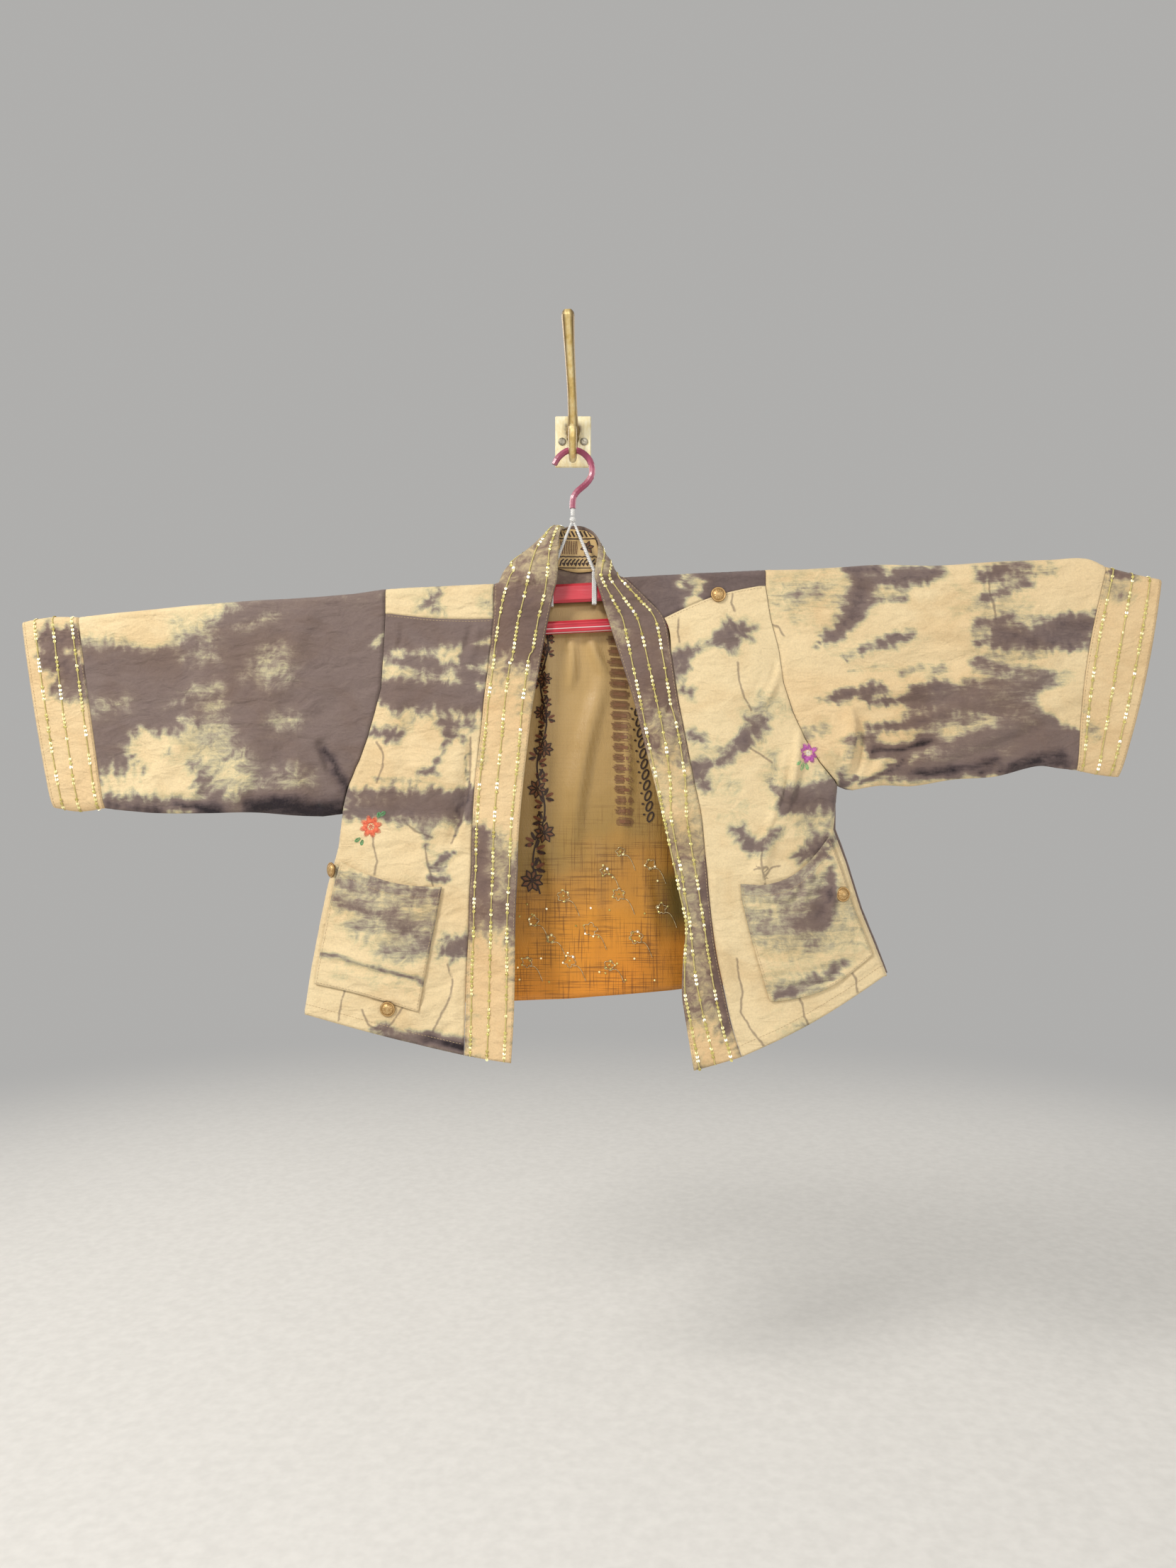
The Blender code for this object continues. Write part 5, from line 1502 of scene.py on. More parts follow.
LINING_CREASES = table(
    Crease,
    (806, 893, 804, 972, 2, 10, 4.5), (832, 896, 858, 955, -4, 11, 4.5),
    (853, 950, 806, 1205, -9, 19, 6.5), (772, 905, 766, 1080, 3, 13, 3.5),
    (884, 1000, 876, 1200, 4, 14, 3.5), (760, 1080, 785, 1270, -4, 13, 3.0),
    (840, 1190, 834, 1370, 3, 13, 3.5), (905, 1200, 930, 1350, -3, 13, 3.0),
    (740, 1300, 900, 1282, -4, 9, 1.6), (735, 1372, 850, 1362, 3, 7, 1.4),
)

LINING_FIRST, LINING_LAST = 1 / 12, 11 / 12
step_in = Vector((0, -(CLOTH_WALL + 2 * SEAM_GAP + 0.9), 0))
grid = []
for t in stations_of(YOKE_SEAM, HEM, 6):
    shares = shares_of(84, LINING_FIRST, LINING_LAST)
    grid.append([point + step_in for point in back_points(t, shares)])
lay("back_lining", grid, satin, wall=0.6, flip=True, creases=LINING_CREASES, least=0.0,
    slot="printed_lining")

shares = shares_of(12, 0.2, 0.93)
lines = [neck_band(t) for t in stations_of(NECK_LINING_FIRST, NECK_LINING_LAST, 6)]
grid = np.array([[tuple(point) for point in band_section(*line, shares)] for line in lines])
grid = grid - outward_of(grid, False, False) * (BAND_WALL + NECK_LINING_GAP)
lay("neck_lining", grid, satin, wall=0.6, calm=0.1, slot="printed_lining")

# %% [markdown]
# ## Sequins
#
# Rows of round sequins are sewn over a gilt thread. The rows follow the
# grids of the band and the cuffs, so they sit on the cloth's real surface.
# Every sequin is a low cone with a flat middle, turned by its own small
# angle, so that only some of them catch the light. Some are also painted
# near white and made to glow, as painted glints.

# %% Rows on a sheet
def on_cloth(laid, j, i):
    """The place and outward direction at a fractional row and column."""
    tall, wide = laid.points.shape[0] - 1, laid.points.shape[1] - 1
    j = min(max(j, 0.0), tall - 1e-6)
    i = min(max(i, 0.0), wide - 1e-6)
    row, column = int(j), int(i)
    down, over = j - row, i - column
    found = []
    for values in (laid.points, laid.outward):
        upper = mix(values[row, column], values[row, column + 1], over)
        lower = mix(values[row + 1, column], values[row + 1, column + 1], over)
        found.append(Vector(mix(upper, lower, down)))
    return found[0], found[1].normalized()


def even_spots(laid, places, pitch):
    """Spots about pitch apart along a row given by grid places."""
    spots = [on_cloth(laid, j, i) for j, i in places]
    way = [0.0]
    for (a, _), (b, _) in zip(spots, spots[1:]):
        way.append(way[-1] + (b - a).length)
    count = int(way[-1] / pitch)
    rows = np.interp(np.linspace(0, way[-1], count), way, [j for j, _ in places])
    columns = np.interp(np.linspace(0, way[-1], count), way, [i for _, i in places])
    return [on_cloth(laid, j, i) for j, i in zip(rows, columns)]


Spacing = namedtuple("Spacing", "place outer middle inner")
BAND_SPACING = table(
    Spacing,
    (0, 0.13, 0.49, 0.85), (4, 0.11, 0.48, 0.82), (9, 0.10, 0.46, 0.84), (12, 0.10, 0.42, 0.77),
    (13, 0.06, 0.40, 0.73), (14, 0.15, 0.45, 0.80), (16, 0.22, 0.54, 0.84),
    (18, 0.22, 0.52, 0.82), (34, 0.22, 0.52, 0.80), (38, 0.18, 0.50, 0.76),
    (39, 0.17, 0.48, 0.74), (41, 0.19, 0.50, 0.86), (42, 0.16, 0.50, 0.90),
    (43, 0.22, 0.60, 0.93), (44, 0.40, 0.80, 0.97), (46, 0.36, 0.80, 0.97),
    (48, 0.33, 0.84, 0.98), (49, 0.25, 0.71, 0.95), (50, 0.23, 0.62, 0.93),
    (52, 0.22, 0.56, 0.88),
)
CUFF_SPACING = (0.12, 0.46, 0.78)
SEQUIN_PITCH = 5.0
BARE_THREAD = -0.05
SEQUIN_RADIUS = 2.1

LEAN_SPREAD = 0.16
GOLD_GLINT_MIDDLE, GOLD_GLINT_SWING, GOLD_GLINT_SPREAD = 0.36, 1.1, 0.2

# The sequin's colour runs from gold to near white, and the whitest ones glow: painted glints.
gilt = Finish("gilt_sequin", Roughness=0.22, Metallic=0.3, Emission_Strength=0.55)
shine = gilt.attribute("shine")
gilt.link("Base Color", gilt.ramp(shine, (
    (0.0, 176, 160, 84), (0.40, 222, 210, 124), (0.65, 246, 240, 184),
    (0.9, 255, 255, 246),
)))
gilt.link("Emission Color", gilt.ramp(shine, (
    (0.45, 0, 0, 0), (0.75, 220, 208, 150), (1.0, 255, 255, 250),
)))
gilt.bump(gilt.noise(700, 2), 0.0002)


def fibre_finish(name, scale, depth, dark, light, **constants):
    """A finish whose colour and bump share one fine noise."""
    made = Finish(name, **constants)
    fibre = made.noise(scale, 2)
    made.link("Base Color", made.ramp(fibre, (dark, light)))
    made.bump(fibre, depth)
    return made


gilt_thread = fibre_finish("gilt_thread", (900, 900, 250), 0.0004, (0.3, 172, 156, 84),
                           (0.7, 222, 208, 138), Roughness=0.5, Sheen_Weight=0.2)


def sequin_piece(name, rows, seed, radius=SEQUIN_RADIUS, lift=0.9):
    """All sequins of a group of rows in one mesh."""
    chance = Random(seed)
    form = bmesh.new()
    glow = form.verts.layers.float.new("shine")
    count = 0
    for spots in rows:
        start = chance.uniform(0, 50)
        for k, (place, out) in enumerate(spots):
            wave = noise.noise((start + k / 3.5, seed, 0)) + chance.gauss(0, 0.06)
            if wave < BARE_THREAD:
                continue
            # How far each sequin is painted from gold towards a glowing white glint.
            bright = GOLD_GLINT_MIDDLE + GOLD_GLINT_SWING * wave + chance.gauss(0, GOLD_GLINT_SPREAD)
            lean = Vector([chance.gauss(0, LEAN_SPREAD) for _ in range(3)])
            facing = (out + lean).normalized()
            frame_of = facing.to_track_quat("Z", "Y").to_matrix().to_4x4()
            frame_of.translation = (place + out * lift) * MM
            made = bmesh.ops.create_cone(
                form, cap_ends=True, segments=8, radius1=radius * MM,
                radius2=radius * 0.4 * MM, depth=0.5 * MM, matrix=frame_of,
            )
            for vert in made["verts"]:
                vert[glow] = min(max(bright, 0), 1)
            count += 1
    put(name, mesh_of(form, name, smooth=False), gilt, "tie_dyed_cloth")
    print(name, count, "sequins")


def thread_piece(name, rows, radius, finish, lift=0.5, slot="tie_dyed_cloth"):
    """Sewn threads along rows of spots, as one curve piece."""
    curve = bpy.data.curves.new(name, "CURVE")
    curve.dimensions = "3D"
    curve.bevel_depth = radius * MM
    curve.bevel_resolution = 1
    for spots in rows:
        line = curve.splines.new("POLY")
        line.points.add(len(spots) - 1)
        for point, (place, out) in zip(line.points, spots):
            point.co = (*((place + out * lift) * MM), 1.0)
    put(name, curve, finish, slot)


# %% Sequins on the band and cuffs
LEFT_NECK_ROWS = {
    "outer": ((697, 920), (704, 874), (711, 838), (720, 812), (728, 800)),
    "middle": ((722, 934), (731, 874), (740, 840), (749, 797), (757, 772)),
    "inner": ((751, 920), (759, 874), (769, 834), (772, 811), (775, 775), (781, 754)),
}


def column_at(laid, j, line):
    """Where a line in the picture crosses row j of a sheet, or None."""
    u, v = seen_at(laid.points[j])
    tall = [place[1] for place in line[::-1]]
    off = u - np.interp(v, tall, [place[0] for place in line[::-1]])
    inside = (v > tall[0]) & (v < tall[-1])
    for i in range(len(u) - 1):
        if off[i] * off[i + 1] <= 0 and inside[i]:
            return i + off[i] / (off[i] - off[i + 1])
    return None


def sequin_rows(label, rows, seed, thread_step):
    """Rows of sequins on a sheet, with the gilt thread that runs under them."""
    laid = panels[label]
    sequin_piece(f"sequins_{label}", [even_spots(laid, row, SEQUIN_PITCH) for row in rows], seed)
    threads = [even_spots(laid, row, thread_step) for row in rows]
    thread_piece(f"thread_{label}", threads, 0.8, gilt_thread)


band = panels["neckband"]
band_rows = []
for column in ("outer", "middle", "inner"):
    shares = [getattr(row, column) for row in BAND_SPACING]
    places = [row.place for row in BAND_SPACING]
    at = np.interp(band_places, places, shares) * BAND_COLUMNS
    known = {}
    for j, place in enumerate(band_places):
        if place < 20:
            found = column_at(band, j, LEFT_NECK_ROWS[column])
            if found is not None:
                known[j] = found
    if known:
        rows_known = sorted(known)
        first, last = rows_known[0], rows_known[-1]
        for j in range(first, last + 1):
            at[j] = np.interp(j, rows_known, [known[k] for k in rows_known])
        at[last:last + 30] = np.linspace(at[last], at[last + 30], 30)
        print(column, "row follows the picture from", first, "to", last)
    band_rows.append([(float(j), float(i)) for j, i in enumerate(at)])
sequin_rows("neckband", band_rows, 3, 5.0)
for label, seed in (("cuff_left", 7), ("cuff_right", 11)):
    tall, wide = (count - 1 for count in panels[label].points.shape[:2])
    rows = [[(share * tall, float(i)) for i in range(wide + 1)] for share in CUFF_SPACING]
    sequin_rows(label, rows, seed, 4.0)

# %% [markdown]
# ## Embroidery
#
# Each small flower is worked in satin stitch: every petal is a fan of
# single threads. A thread is a stretched ball, low enough to look sewn down.

# %% Satin stitches
THREAD_HALF = 0.42
THREAD_LIFT = 0.3
FAR_IN_FRONT = -200
NEAR_FRONT = -50


def tree_of(laid):
    """A search tree of the sheet's outer surface, for finding places on it."""
    tall, wide = laid.points.shape[:2]
    places = [Vector(p) for p in laid.points.reshape(-1, 3)]
    quads = [
        (j * wide + i, j * wide + i + 1, (j + 1) * wide + i + 1, (j + 1) * wide + i)
        for j in range(tall - 1) for i in range(wide - 1)
    ]
    return BVHTree.FromPolygons(places, quads)


def sewn_spot(trees, x, z):
    """The place and outward direction of the first cloth behind (x, z)."""
    start, near = Vector((x, FAR_IN_FRONT, z)), Vector((x, NEAR_FRONT, z))
    hits = [tree.ray_cast(start, Vector((0, 1, 0))) for tree in trees]
    hits = [hit for hit in hits if hit[0] is not None]
    if not hits:
        hits = [tree.find_nearest(near) for tree in trees]
    place, out = min(hits, key=lambda hit: (near - hit[0]).length)[:2]
    return place, (out if out.y < 0 else -out)


def stitch(form, trees, center, angle, near, far, width):
    """One thread from near to far along a direction out of the center."""
    middle = (near + far) / 2
    x = center[0] + cos(angle) * middle
    z = center[1] + sin(angle) * middle
    place, out = sewn_spot(trees, x, z)
    along = Vector((cos(angle), 0, sin(angle)))
    side = out.cross(along).normalized()
    along = side.cross(out)
    axes = Matrix((along * (far - near) / 2, side * width / 2, out * THREAD_HALF))
    axes = Matrix.Translation(place + out * THREAD_LIFT) @ axes.transposed().to_4x4()
    axes = Matrix.Scale(MM, 4) @ axes
    bmesh.ops.create_uvsphere(form, u_segments=6, v_segments=5, radius=1, matrix=axes)


Flower = namedtuple("Flower", "x z radius petals turn")
Leaf = namedtuple("Leaf", "x z length width degrees")


def thread_finish(name, dark, light, shift):
    """Shiny embroidery thread, lighter or darker from stitch to stitch."""
    made = Finish(name, Roughness=0.42, Sheen_Weight=0.3, Specular_IOR_Level=0.6)
    tone = made.noise(420, 2, shift=(shift, 0, 0))
    made.link("Base Color", made.ramp(tone, ((0.34, *dark), (0.66, *light))))
    made.bump(made.noise(2400, 2), 0.0002)
    return made


def embroider(name, trees, flower, leaves, petal_finish, leaf_finish, heart_finish):
    """One flower with its heart and leaves, all in single stitches."""
    petals, heart, green = bmesh.new(), bmesh.new(), bmesh.new()
    center = (flower.x, flower.z)
    for k in range(flower.petals):
        middle = flower.turn + 2 * pi * k / flower.petals
        for step in range(-3, 4):
            angle = middle + pi / flower.petals * step / 3.2
            far = flower.radius * (1 - 0.34 * abs(step / 3) ** 1.6)
            stitch(petals, trees, center, angle, flower.radius * 0.22, far, 1.25)
    for k in range(7):
        stitch(heart, trees, center, 2 * pi * k / 7, 0.3, flower.radius * 0.26, 1.3)
    for leaf in leaves:
        lean = radians(leaf.degrees)
        for k in range(7):
            share = k / 6
            way = leaf.length * share
            root = (leaf.x + cos(lean) * way, leaf.z + sin(lean) * way)
            reach = leaf.width * sin(pi * min(share * 0.8 + 0.2, 1)) + 0.6
            for side in (-1, 1):
                stitch(green, trees, root, lean + side * 0.8, 0.1, reach, 1.0)
    for part, form, finish in (
        ("petals", petals, petal_finish), ("heart", heart, heart_finish),
        ("leaves", green, leaf_finish),
    ):
        put(f"{name}_{part}", mesh_of(form, f"{name}_{part}"), finish, "tie_dyed_cloth")


# %% Two flowers
coral = thread_finish("coral_thread", (206, 74, 44), (246, 128, 84), 0.1)
green = thread_finish("green_thread", (52, 126, 70), (104, 178, 116), 0.2)
plum = thread_finish("plum_thread", (160, 62, 148), (214, 108, 196), 0.3)
spring = thread_finish("spring_thread", (98, 176, 108), (160, 222, 156), 0.4)
ivory = thread_finish("ivory_thread", (224, 214, 206), (250, 246, 240), 0.5)
left_trees = [tree_of(panels["front_left"])]
right_trees = [tree_of(panels["front_right"]), tree_of(panels["sleeve_right"])]
embroider(
    "flower_coral", left_trees, Flower(-249, -491, 15.5, 8, 0.25),
    (Leaf(-238, -478, 9, 3.2, 35), Leaf(-240, -480, 7, 2.6, 75),
     Leaf(-262, -505, 8, 3.0, 215), Leaf(-259, -507, 7, 2.6, 255)),
    coral, green, coral,
)
embroider(
    "flower_plum", right_trees, Flower(292, -400, 15.0, 8, 0.5),
    (Leaf(286, -412, 10, 3.0, 250), Leaf(289, -413, 8, 2.6, 285), Leaf(282, -410, 7, 2.4, 220)),
    plum, spring, ivory,
)

# %% [markdown]
# ## The lining's print
#
# The printed satin carries a vine border, a column of fringed blocks, a
# chain, and thin gilt outlines of flowers with small sequins. All are plain
# traditional forms in a layout of their own. Each is drawn flat from discs
# and strips, then dropped onto the lining along the line of sight.


# %% Flat print shapes
LINING_Y = -28


class Drawing:
    """A flat drawing of discs and strips in the plane of the cloth."""

    def __init__(self):
        self.form = bmesh.new()
        self.shade = self.form.verts.layers.float.new("shade")

    def stamp(self, make, place, long, wide, degrees, shade, **options):
        """One flat shape, long and wide, turned in the plane."""
        x, z = place
        matrix = Matrix.Translation((x, 0, z)) @ Matrix.Rotation(-radians(degrees), 4, "Y")
        matrix = matrix @ Matrix.Diagonal((long, 1, wide, 1)) @ Matrix.Rotation(pi / 2, 4, "X")
        for vert in make(self.form, matrix=matrix, **options)["verts"]:
            vert[self.shade] = shade

    def disc(self, x, z, long, wide, degrees, shade):
        """An ellipse of print."""
        self.stamp(bmesh.ops.create_circle, (x, z), long, wide, degrees, shade,
                   cap_ends=True, segments=8, radius=1)

    def strip(self, x, z, long, wide, degrees, shade, pieces=2):
        """A straight strip of print."""
        self.stamp(bmesh.ops.create_grid, (x, z), long / 2, wide / 2, degrees, shade,
                   x_segments=pieces, y_segments=1, size=1)

    def line(self, places, wide, shade):
        """A line of print through places in the plane of the cloth."""
        for (x0, z0), (x1, z1) in zip(places, places[1:]):
            long = hypot(x1 - x0, z1 - z0) + wide * 0.6
            lean = np.degrees(np.arctan2(z1 - z0, x1 - x0))
            self.strip((x0 + x1) / 2, (z0 + z1) / 2, long, wide, lean, shade, 1)

    def rosette(self, x, z, radius, petals, turn, shade):
        """A flower of outlined petals round a heart."""
        for k in range(petals):
            angle = turn + 2 * pi * k / petals
            tip = around(x, z, radius, angle)
            for side in (-0.42, 0.42):
                belly = around(x, z, radius * 0.62, angle + side)
                self.line(((x, z), belly, tip), radius * 0.09 + 0.4, 0.1)
            middle = around(x, z, radius * 0.6, angle)
            self.disc(*middle, radius * 0.3, radius * 0.12, np.degrees(angle), shade)
        self.disc(x, z, radius * 0.2, radius * 0.2, 0, 0.3)

    def curl(self, x, z, radius, side, shade):
        """A tendril that winds in on itself, with a bud at its end."""
        places = []
        for share in shares_of(15):
            angle = pi / 2 - side * share * 1.6 * pi
            places.append(around(x, z - radius, radius * (1 - 0.55 * share), angle))
        self.line(places, 1.7, shade)
        self.disc(*places[-1], 2.2, 2.2, 0, 0.5)

    def drop(self, name, tree, lift):
        """Drop the drawing onto the cloth and make it a piece."""
        for vert in self.form.verts:
            x, _, z = vert.co
            place = tree.ray_cast(Vector((x, FAR_IN_FRONT, z)), Vector((0, 1, 0)))[0]
            if place is None:
                place = tree.find_nearest(Vector((x, LINING_Y, z)))[0]
            vert.co = (place - Vector((0, lift, 0))) * MM
        print(name, len(self.form.faces), "faces")
        put(name, mesh_of(self.form, name, smooth=False), ink, "printed_lining")


def around(x, z, radius, angle):
    """The place at a radius and angle round (x, z)."""
    return x + cos(angle) * radius, z + sin(angle) * radius


ink = Finish("lining_print", Roughness=0.55)
worn = ink.noise(260)
ink_color = ink.ramp(ink.attribute("shade") + (worn - 0.5) * 0.3, (
    (0.0, 46, 28, 20), (0.30, 72, 46, 30), (0.50, 118, 66, 40),
    (0.75, 128, 92, 58), (1.0, 170, 136, 92),
))
ink.link("Base Color", ink_color)

# %% Vine border, blocks and chain
VINE_TOP, VINE_BASE = -238, -580
chance = Random(21)
sheet = Drawing()


def vine_place(z):
    """The middle of the vine's stem at height z, and how big its parts are."""
    share = (VINE_TOP - z) / (VINE_TOP - VINE_BASE)
    swing = mix(3.5, 7.5, share)
    return mix(-34, -45, share) + swing * sin(z / mix(11, 14, share)), mix(0.8, 1.55, share)


sheet.line([(vine_place(z)[0], z) for z in np.arange(VINE_TOP, VINE_BASE, -3.0)], 2.0, 0.05)
z = VINE_TOP - 6
k = 0
while z > VINE_BASE + 12:
    x, big = vine_place(z)
    side = 1 if k % 2 else -1
    if k % 5 == 3:
        sheet.rosette(x - side * 4, z - 5, 9.5 * big, 8, 0.3 * k, 0.62)
        z -= 13 * big
    elif k % 5 == 1:
        sheet.curl(x + side * 3, z, 6.0 * big, side, 0.1)
        z -= 9 * big
    else:
        for leaf in range(3):
            lean = 90 + side * (25 + 40 * leaf)
            middle = around(x, z, 6.5 * big, radians(lean))
            sheet.disc(*middle, 4.4 * big, 1.6 * big, lean, 0.12 + 0.4 * (leaf == 1))
        sheet.disc(x - side * 6 * big, z - 3, 2.3 * big, 2.0 * big, 0, 0.5)
        z -= 7 * big
    k += 1
for share in shares_of(17):
    x = mix(56, 66, share)
    z = mix(-258, -486, share)
    half = mix(13.5, 12.0, share)
    for thread in range(6):
        shift = chance.uniform(-1.0, 1.0)
        long = 2 * half - 2.2 * abs(thread - 2.5) + chance.uniform(-1.5, 1.5)
        sheet.strip(x + shift, z + 4.6 - thread * 1.85, long, 1.0, -4, 0.72)
    sheet.strip(x, z, half * 1.2, 4.0, -4, 0.66)
for share in shares_of(10):
    x = mix(82, 98, share)
    z = mix(-346, -480, share)
    loop = []
    for step in range(13):
        angle = 2 * pi * step / 12
        a, b = 6.4 * cos(angle), 3.2 * sin(angle)
        loop.append((x + a * cos(1.15) - b * sin(1.15), z + a * sin(1.15) + b * cos(1.15)))
    sheet.line(loop, 1.9, 0.02)
    sheet.disc(x - 8, z + 3, 1.8, 1.3, 0, 0.1)
lining_tree = tree_of(panels["back_lining"])
sheet.drop("lining_vine_and_blocks", lining_tree, 0.9)

# %% Gilt outlines and small sequins on the lining
fine_gilt = fibre_finish("fine_gilt", 300, 0.0003, (0.35, 150, 128, 84),
                         (0.65, 236, 222, 180), Roughness=0.35, Metallic=0.4)
Outline = namedtuple("Outline", "x z radius petals turn")
OUTLINES = table(
    Outline,
    (-50, -612, 7, 5, 0.2), (-12, -580, 8, 6, 0.7), (22, -622, 9, 5, 0.1), (58, -578, 8, 6, 0.4),
    (-4, -662, 8, 5, 0.9), (80, -632, 9, 6, 0.2), (-58, -664, 7, 6, 0.5), (112, -596, 7, 5, 0.3),
    (46, -668, 7, 5, 0.0), (98, -540, 7, 5, 0.8), (60, -524, 6, 5, 0.5), (-28, -634, 6, 5, 0.1),
    (40, -548, 6, 5, 0.6),
)


def on_lining(x, z):
    """The place and outward direction of the lining behind (x, z)."""
    return sewn_spot([lining_tree], x, z)


lines, gems = [], []
for x, z, radius, petals, turn in OUTLINES:
    spots = []
    for k in range(49):
        angle = 2 * pi * k / 48
        reach = radius * (0.62 + 0.38 * abs(cos(petals * (angle - turn) / 2)))
        spots.append(on_lining(*around(x, z, reach, angle)))
    lines.append(spots)
    stem = []
    for share in shares_of(11):
        sx = x + radius * 0.5 + 16 * share
        sz = z - radius * 0.8 - 20 * share + 8 * sin(3 * share)
        stem.append(on_lining(min(sx, 150), max(sz, -690)))
    lines.append(stem)
    gems.append(on_lining(x, z))
    for k in range(petals):
        angle = turn + 2 * pi * k / petals
        gems.append(on_lining(*around(x, z, radius * chance.uniform(0.5, 1.25), angle)))
thread_piece("lining_gilt_lines", lines, 0.42, fine_gilt, 0.7, "printed_lining")
for k in range(36):
    x = chance.uniform(-80, 128)
    gems.append(on_lining(x, chance.uniform(-690, -560 + 0.4 * x)))
sequin_piece("lining_sequins", [gems], 31, radius=1.3, lift=1.1)

# %% Print on the neck's lining
sheet = Drawing()
for k in range(9):
    x = -17 + k * 5.2
    sheet.line(((x, -121), (x + 3.4, -127)), 2.1, 0.02)
sheet.line([(x, -130) for x in range(-18, 31, 3)], 1.5, 0.08)
for k in range(10):
    x = -15 + k * 2.2
    sheet.line(((x, -133), (x + 0.5, -141), (x, -149)), 1.0, 0.4)
sheet.rosette(18, -141, 8.5, 6, 0.2, 0.5)
sheet.line([(x, -152.5 + 0.7 * sin(x)) for x in range(-18, 31, 3)], 1.6, 0.08)
for k in range(9):
    x = -16 + k * 4.9
    sheet.line(((x, -164), (x + 1.6, -158.5), (x + 4.2, -156)), 1.9, 0.02)
    sheet.disc(x + 4, -161.5, 1.6, 1.6, 0, 0.3)
sheet.line([(x, -167) for x in range(-18, 31, 3)], 1.4, 0.1)
sheet.drop("neck_lining_print", tree_of(panels["neck_lining"]), 0.8)

# %% [markdown]
# ## Buttons and screws
#
# A button is spun from its profile: a rolled rim, a groove and a dome. Fine
# rays are pressed into the dome. The screws are spun too, and their slots
# are cut by two planes and pushed in.

# %% Spun metal
def spin_profile(form, profile, sides):
    """A solid of revolution about Z from (radius, height) points."""
    verts = [form.verts.new((radius, 0, height)) for radius, height in profile]
    edges = [form.edges.new(pair) for pair in zip(verts, verts[1:])]
    bmesh.ops.spin(
        form, geom=verts + edges, cent=(0, 0, 0), axis=(0, 0, 1), angle=2 * pi,
        steps=sides, use_merge=True,
    )
    bmesh.ops.remove_doubles(form, verts=form.verts, dist=0.00001)
    bmesh.ops.recalc_face_normals(form, faces=form.faces)


BUTTON_PROFILE = (
    (0.0, -0.9), (7.4, -0.9), (8.8, -0.5), (9.4, 0.4), (9.2, 1.3), (8.5, 1.8), (7.7, 1.5),
    (7.2, 1.25), (6.7, 1.7), (5.8, 2.6), (4.4, 3.4), (2.8, 4.0), (1.3, 4.25), (0.0, 4.3),
)
BUTTON_SINK = 1.7
GROOVE_HEIGHT = 1.3
RAYS = 12
RAY_HEIGHT = 0.45
RAY_MIDDLE, RAY_REACH = 4.4, 2.4
BARE_RIM, BARE_TOP = 8.2, 1.5

antique = Finish("antique_bronze", Metallic=0.6)
grime = antique.noise(260, 4, 0.6)
relief = antique.attribute("relief")
antique.link("Base Color", antique.ramp(grime * 0.5 + relief * 0.5, (
    (0.15, 112, 80, 46), (0.42, 184, 146, 92), (0.75, 232, 200, 146),
)))
antique.link("Roughness", 0.52 - relief * 0.2)
antique.bump(grime, 0.0006)


def middle_of(node):
    """The middle of a solid's box."""
    low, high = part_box(node)
    return (Vector(low) + Vector(high)) / 2


def make_button(node, facing):
    """A pressed metal button where its plain solid sits."""
    facing = Vector(facing).normalized()
    form = bmesh.new()
    spin_profile(form, BUTTON_PROFILE, 48)
    relief_layer = form.verts.layers.float.new("relief")
    for vert in form.verts:
        if vert.co.z <= GROOVE_HEIGHT:
            continue
        reach = hypot(vert.co.x, vert.co.y)
        ray = 0.5 + 0.5 * cos(RAYS * np.arctan2(vert.co.y, vert.co.x))
        on_rays = max(0.0, 1 - abs(reach - RAY_MIDDLE) / RAY_REACH)
        vert.co.z += RAY_HEIGHT * (ray - 0.5) * on_rays
        rubbed = reach > BARE_RIM or reach < BARE_TOP
        vert[relief_layer] = 0.35 + 0.5 * ray * on_rays + 0.3 * rubbed
    turn = facing.to_track_quat("Z", "Y").to_matrix().to_4x4()
    turn.translation = middle_of(node) / MM - facing * BUTTON_SINK
    bmesh.ops.transform(form, matrix=Matrix.Scale(MM, 4) @ turn, verts=form.verts)
    put(f"pressed_{node}", mesh_of(form, f"pressed_{node}"), antique, "bronze", node)


for node, facing in (
    ("button_yoke", (0, -1, 0.05)), ("button_pocket_right", (0.25, -1, 0)),
    ("button_pocket_left", (0, -1, -0.1)), ("button_side", (-1, -0.85, 0)),
):
    make_button(node, facing)

SCREW_PROFILE = (
    (0.0, 0.0), (4.6, 0.0), (5.0, 0.3), (4.9, 0.8), (4.2, 1.3), (2.8, 1.55), (0.0, 1.6),
)
SLOT_HALF = 0.55
SLOT_DEPTH = 0.7
SLOT_FLOOR = 0.3
SLOT_FROM = 0.85
# Middle of the painted shadow round the hook's root on the plate; its x is also the line of the
# arm's painted side shade.
PAINTED_SHADE_MIDDLE = middle_of("wall_plate")
PAINTED_SHADE_MIDDLE.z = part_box("wall_plate")[1][2] - 0.02
ARM_BEND_Z = 0.03
ARM_LEAN = -0.054


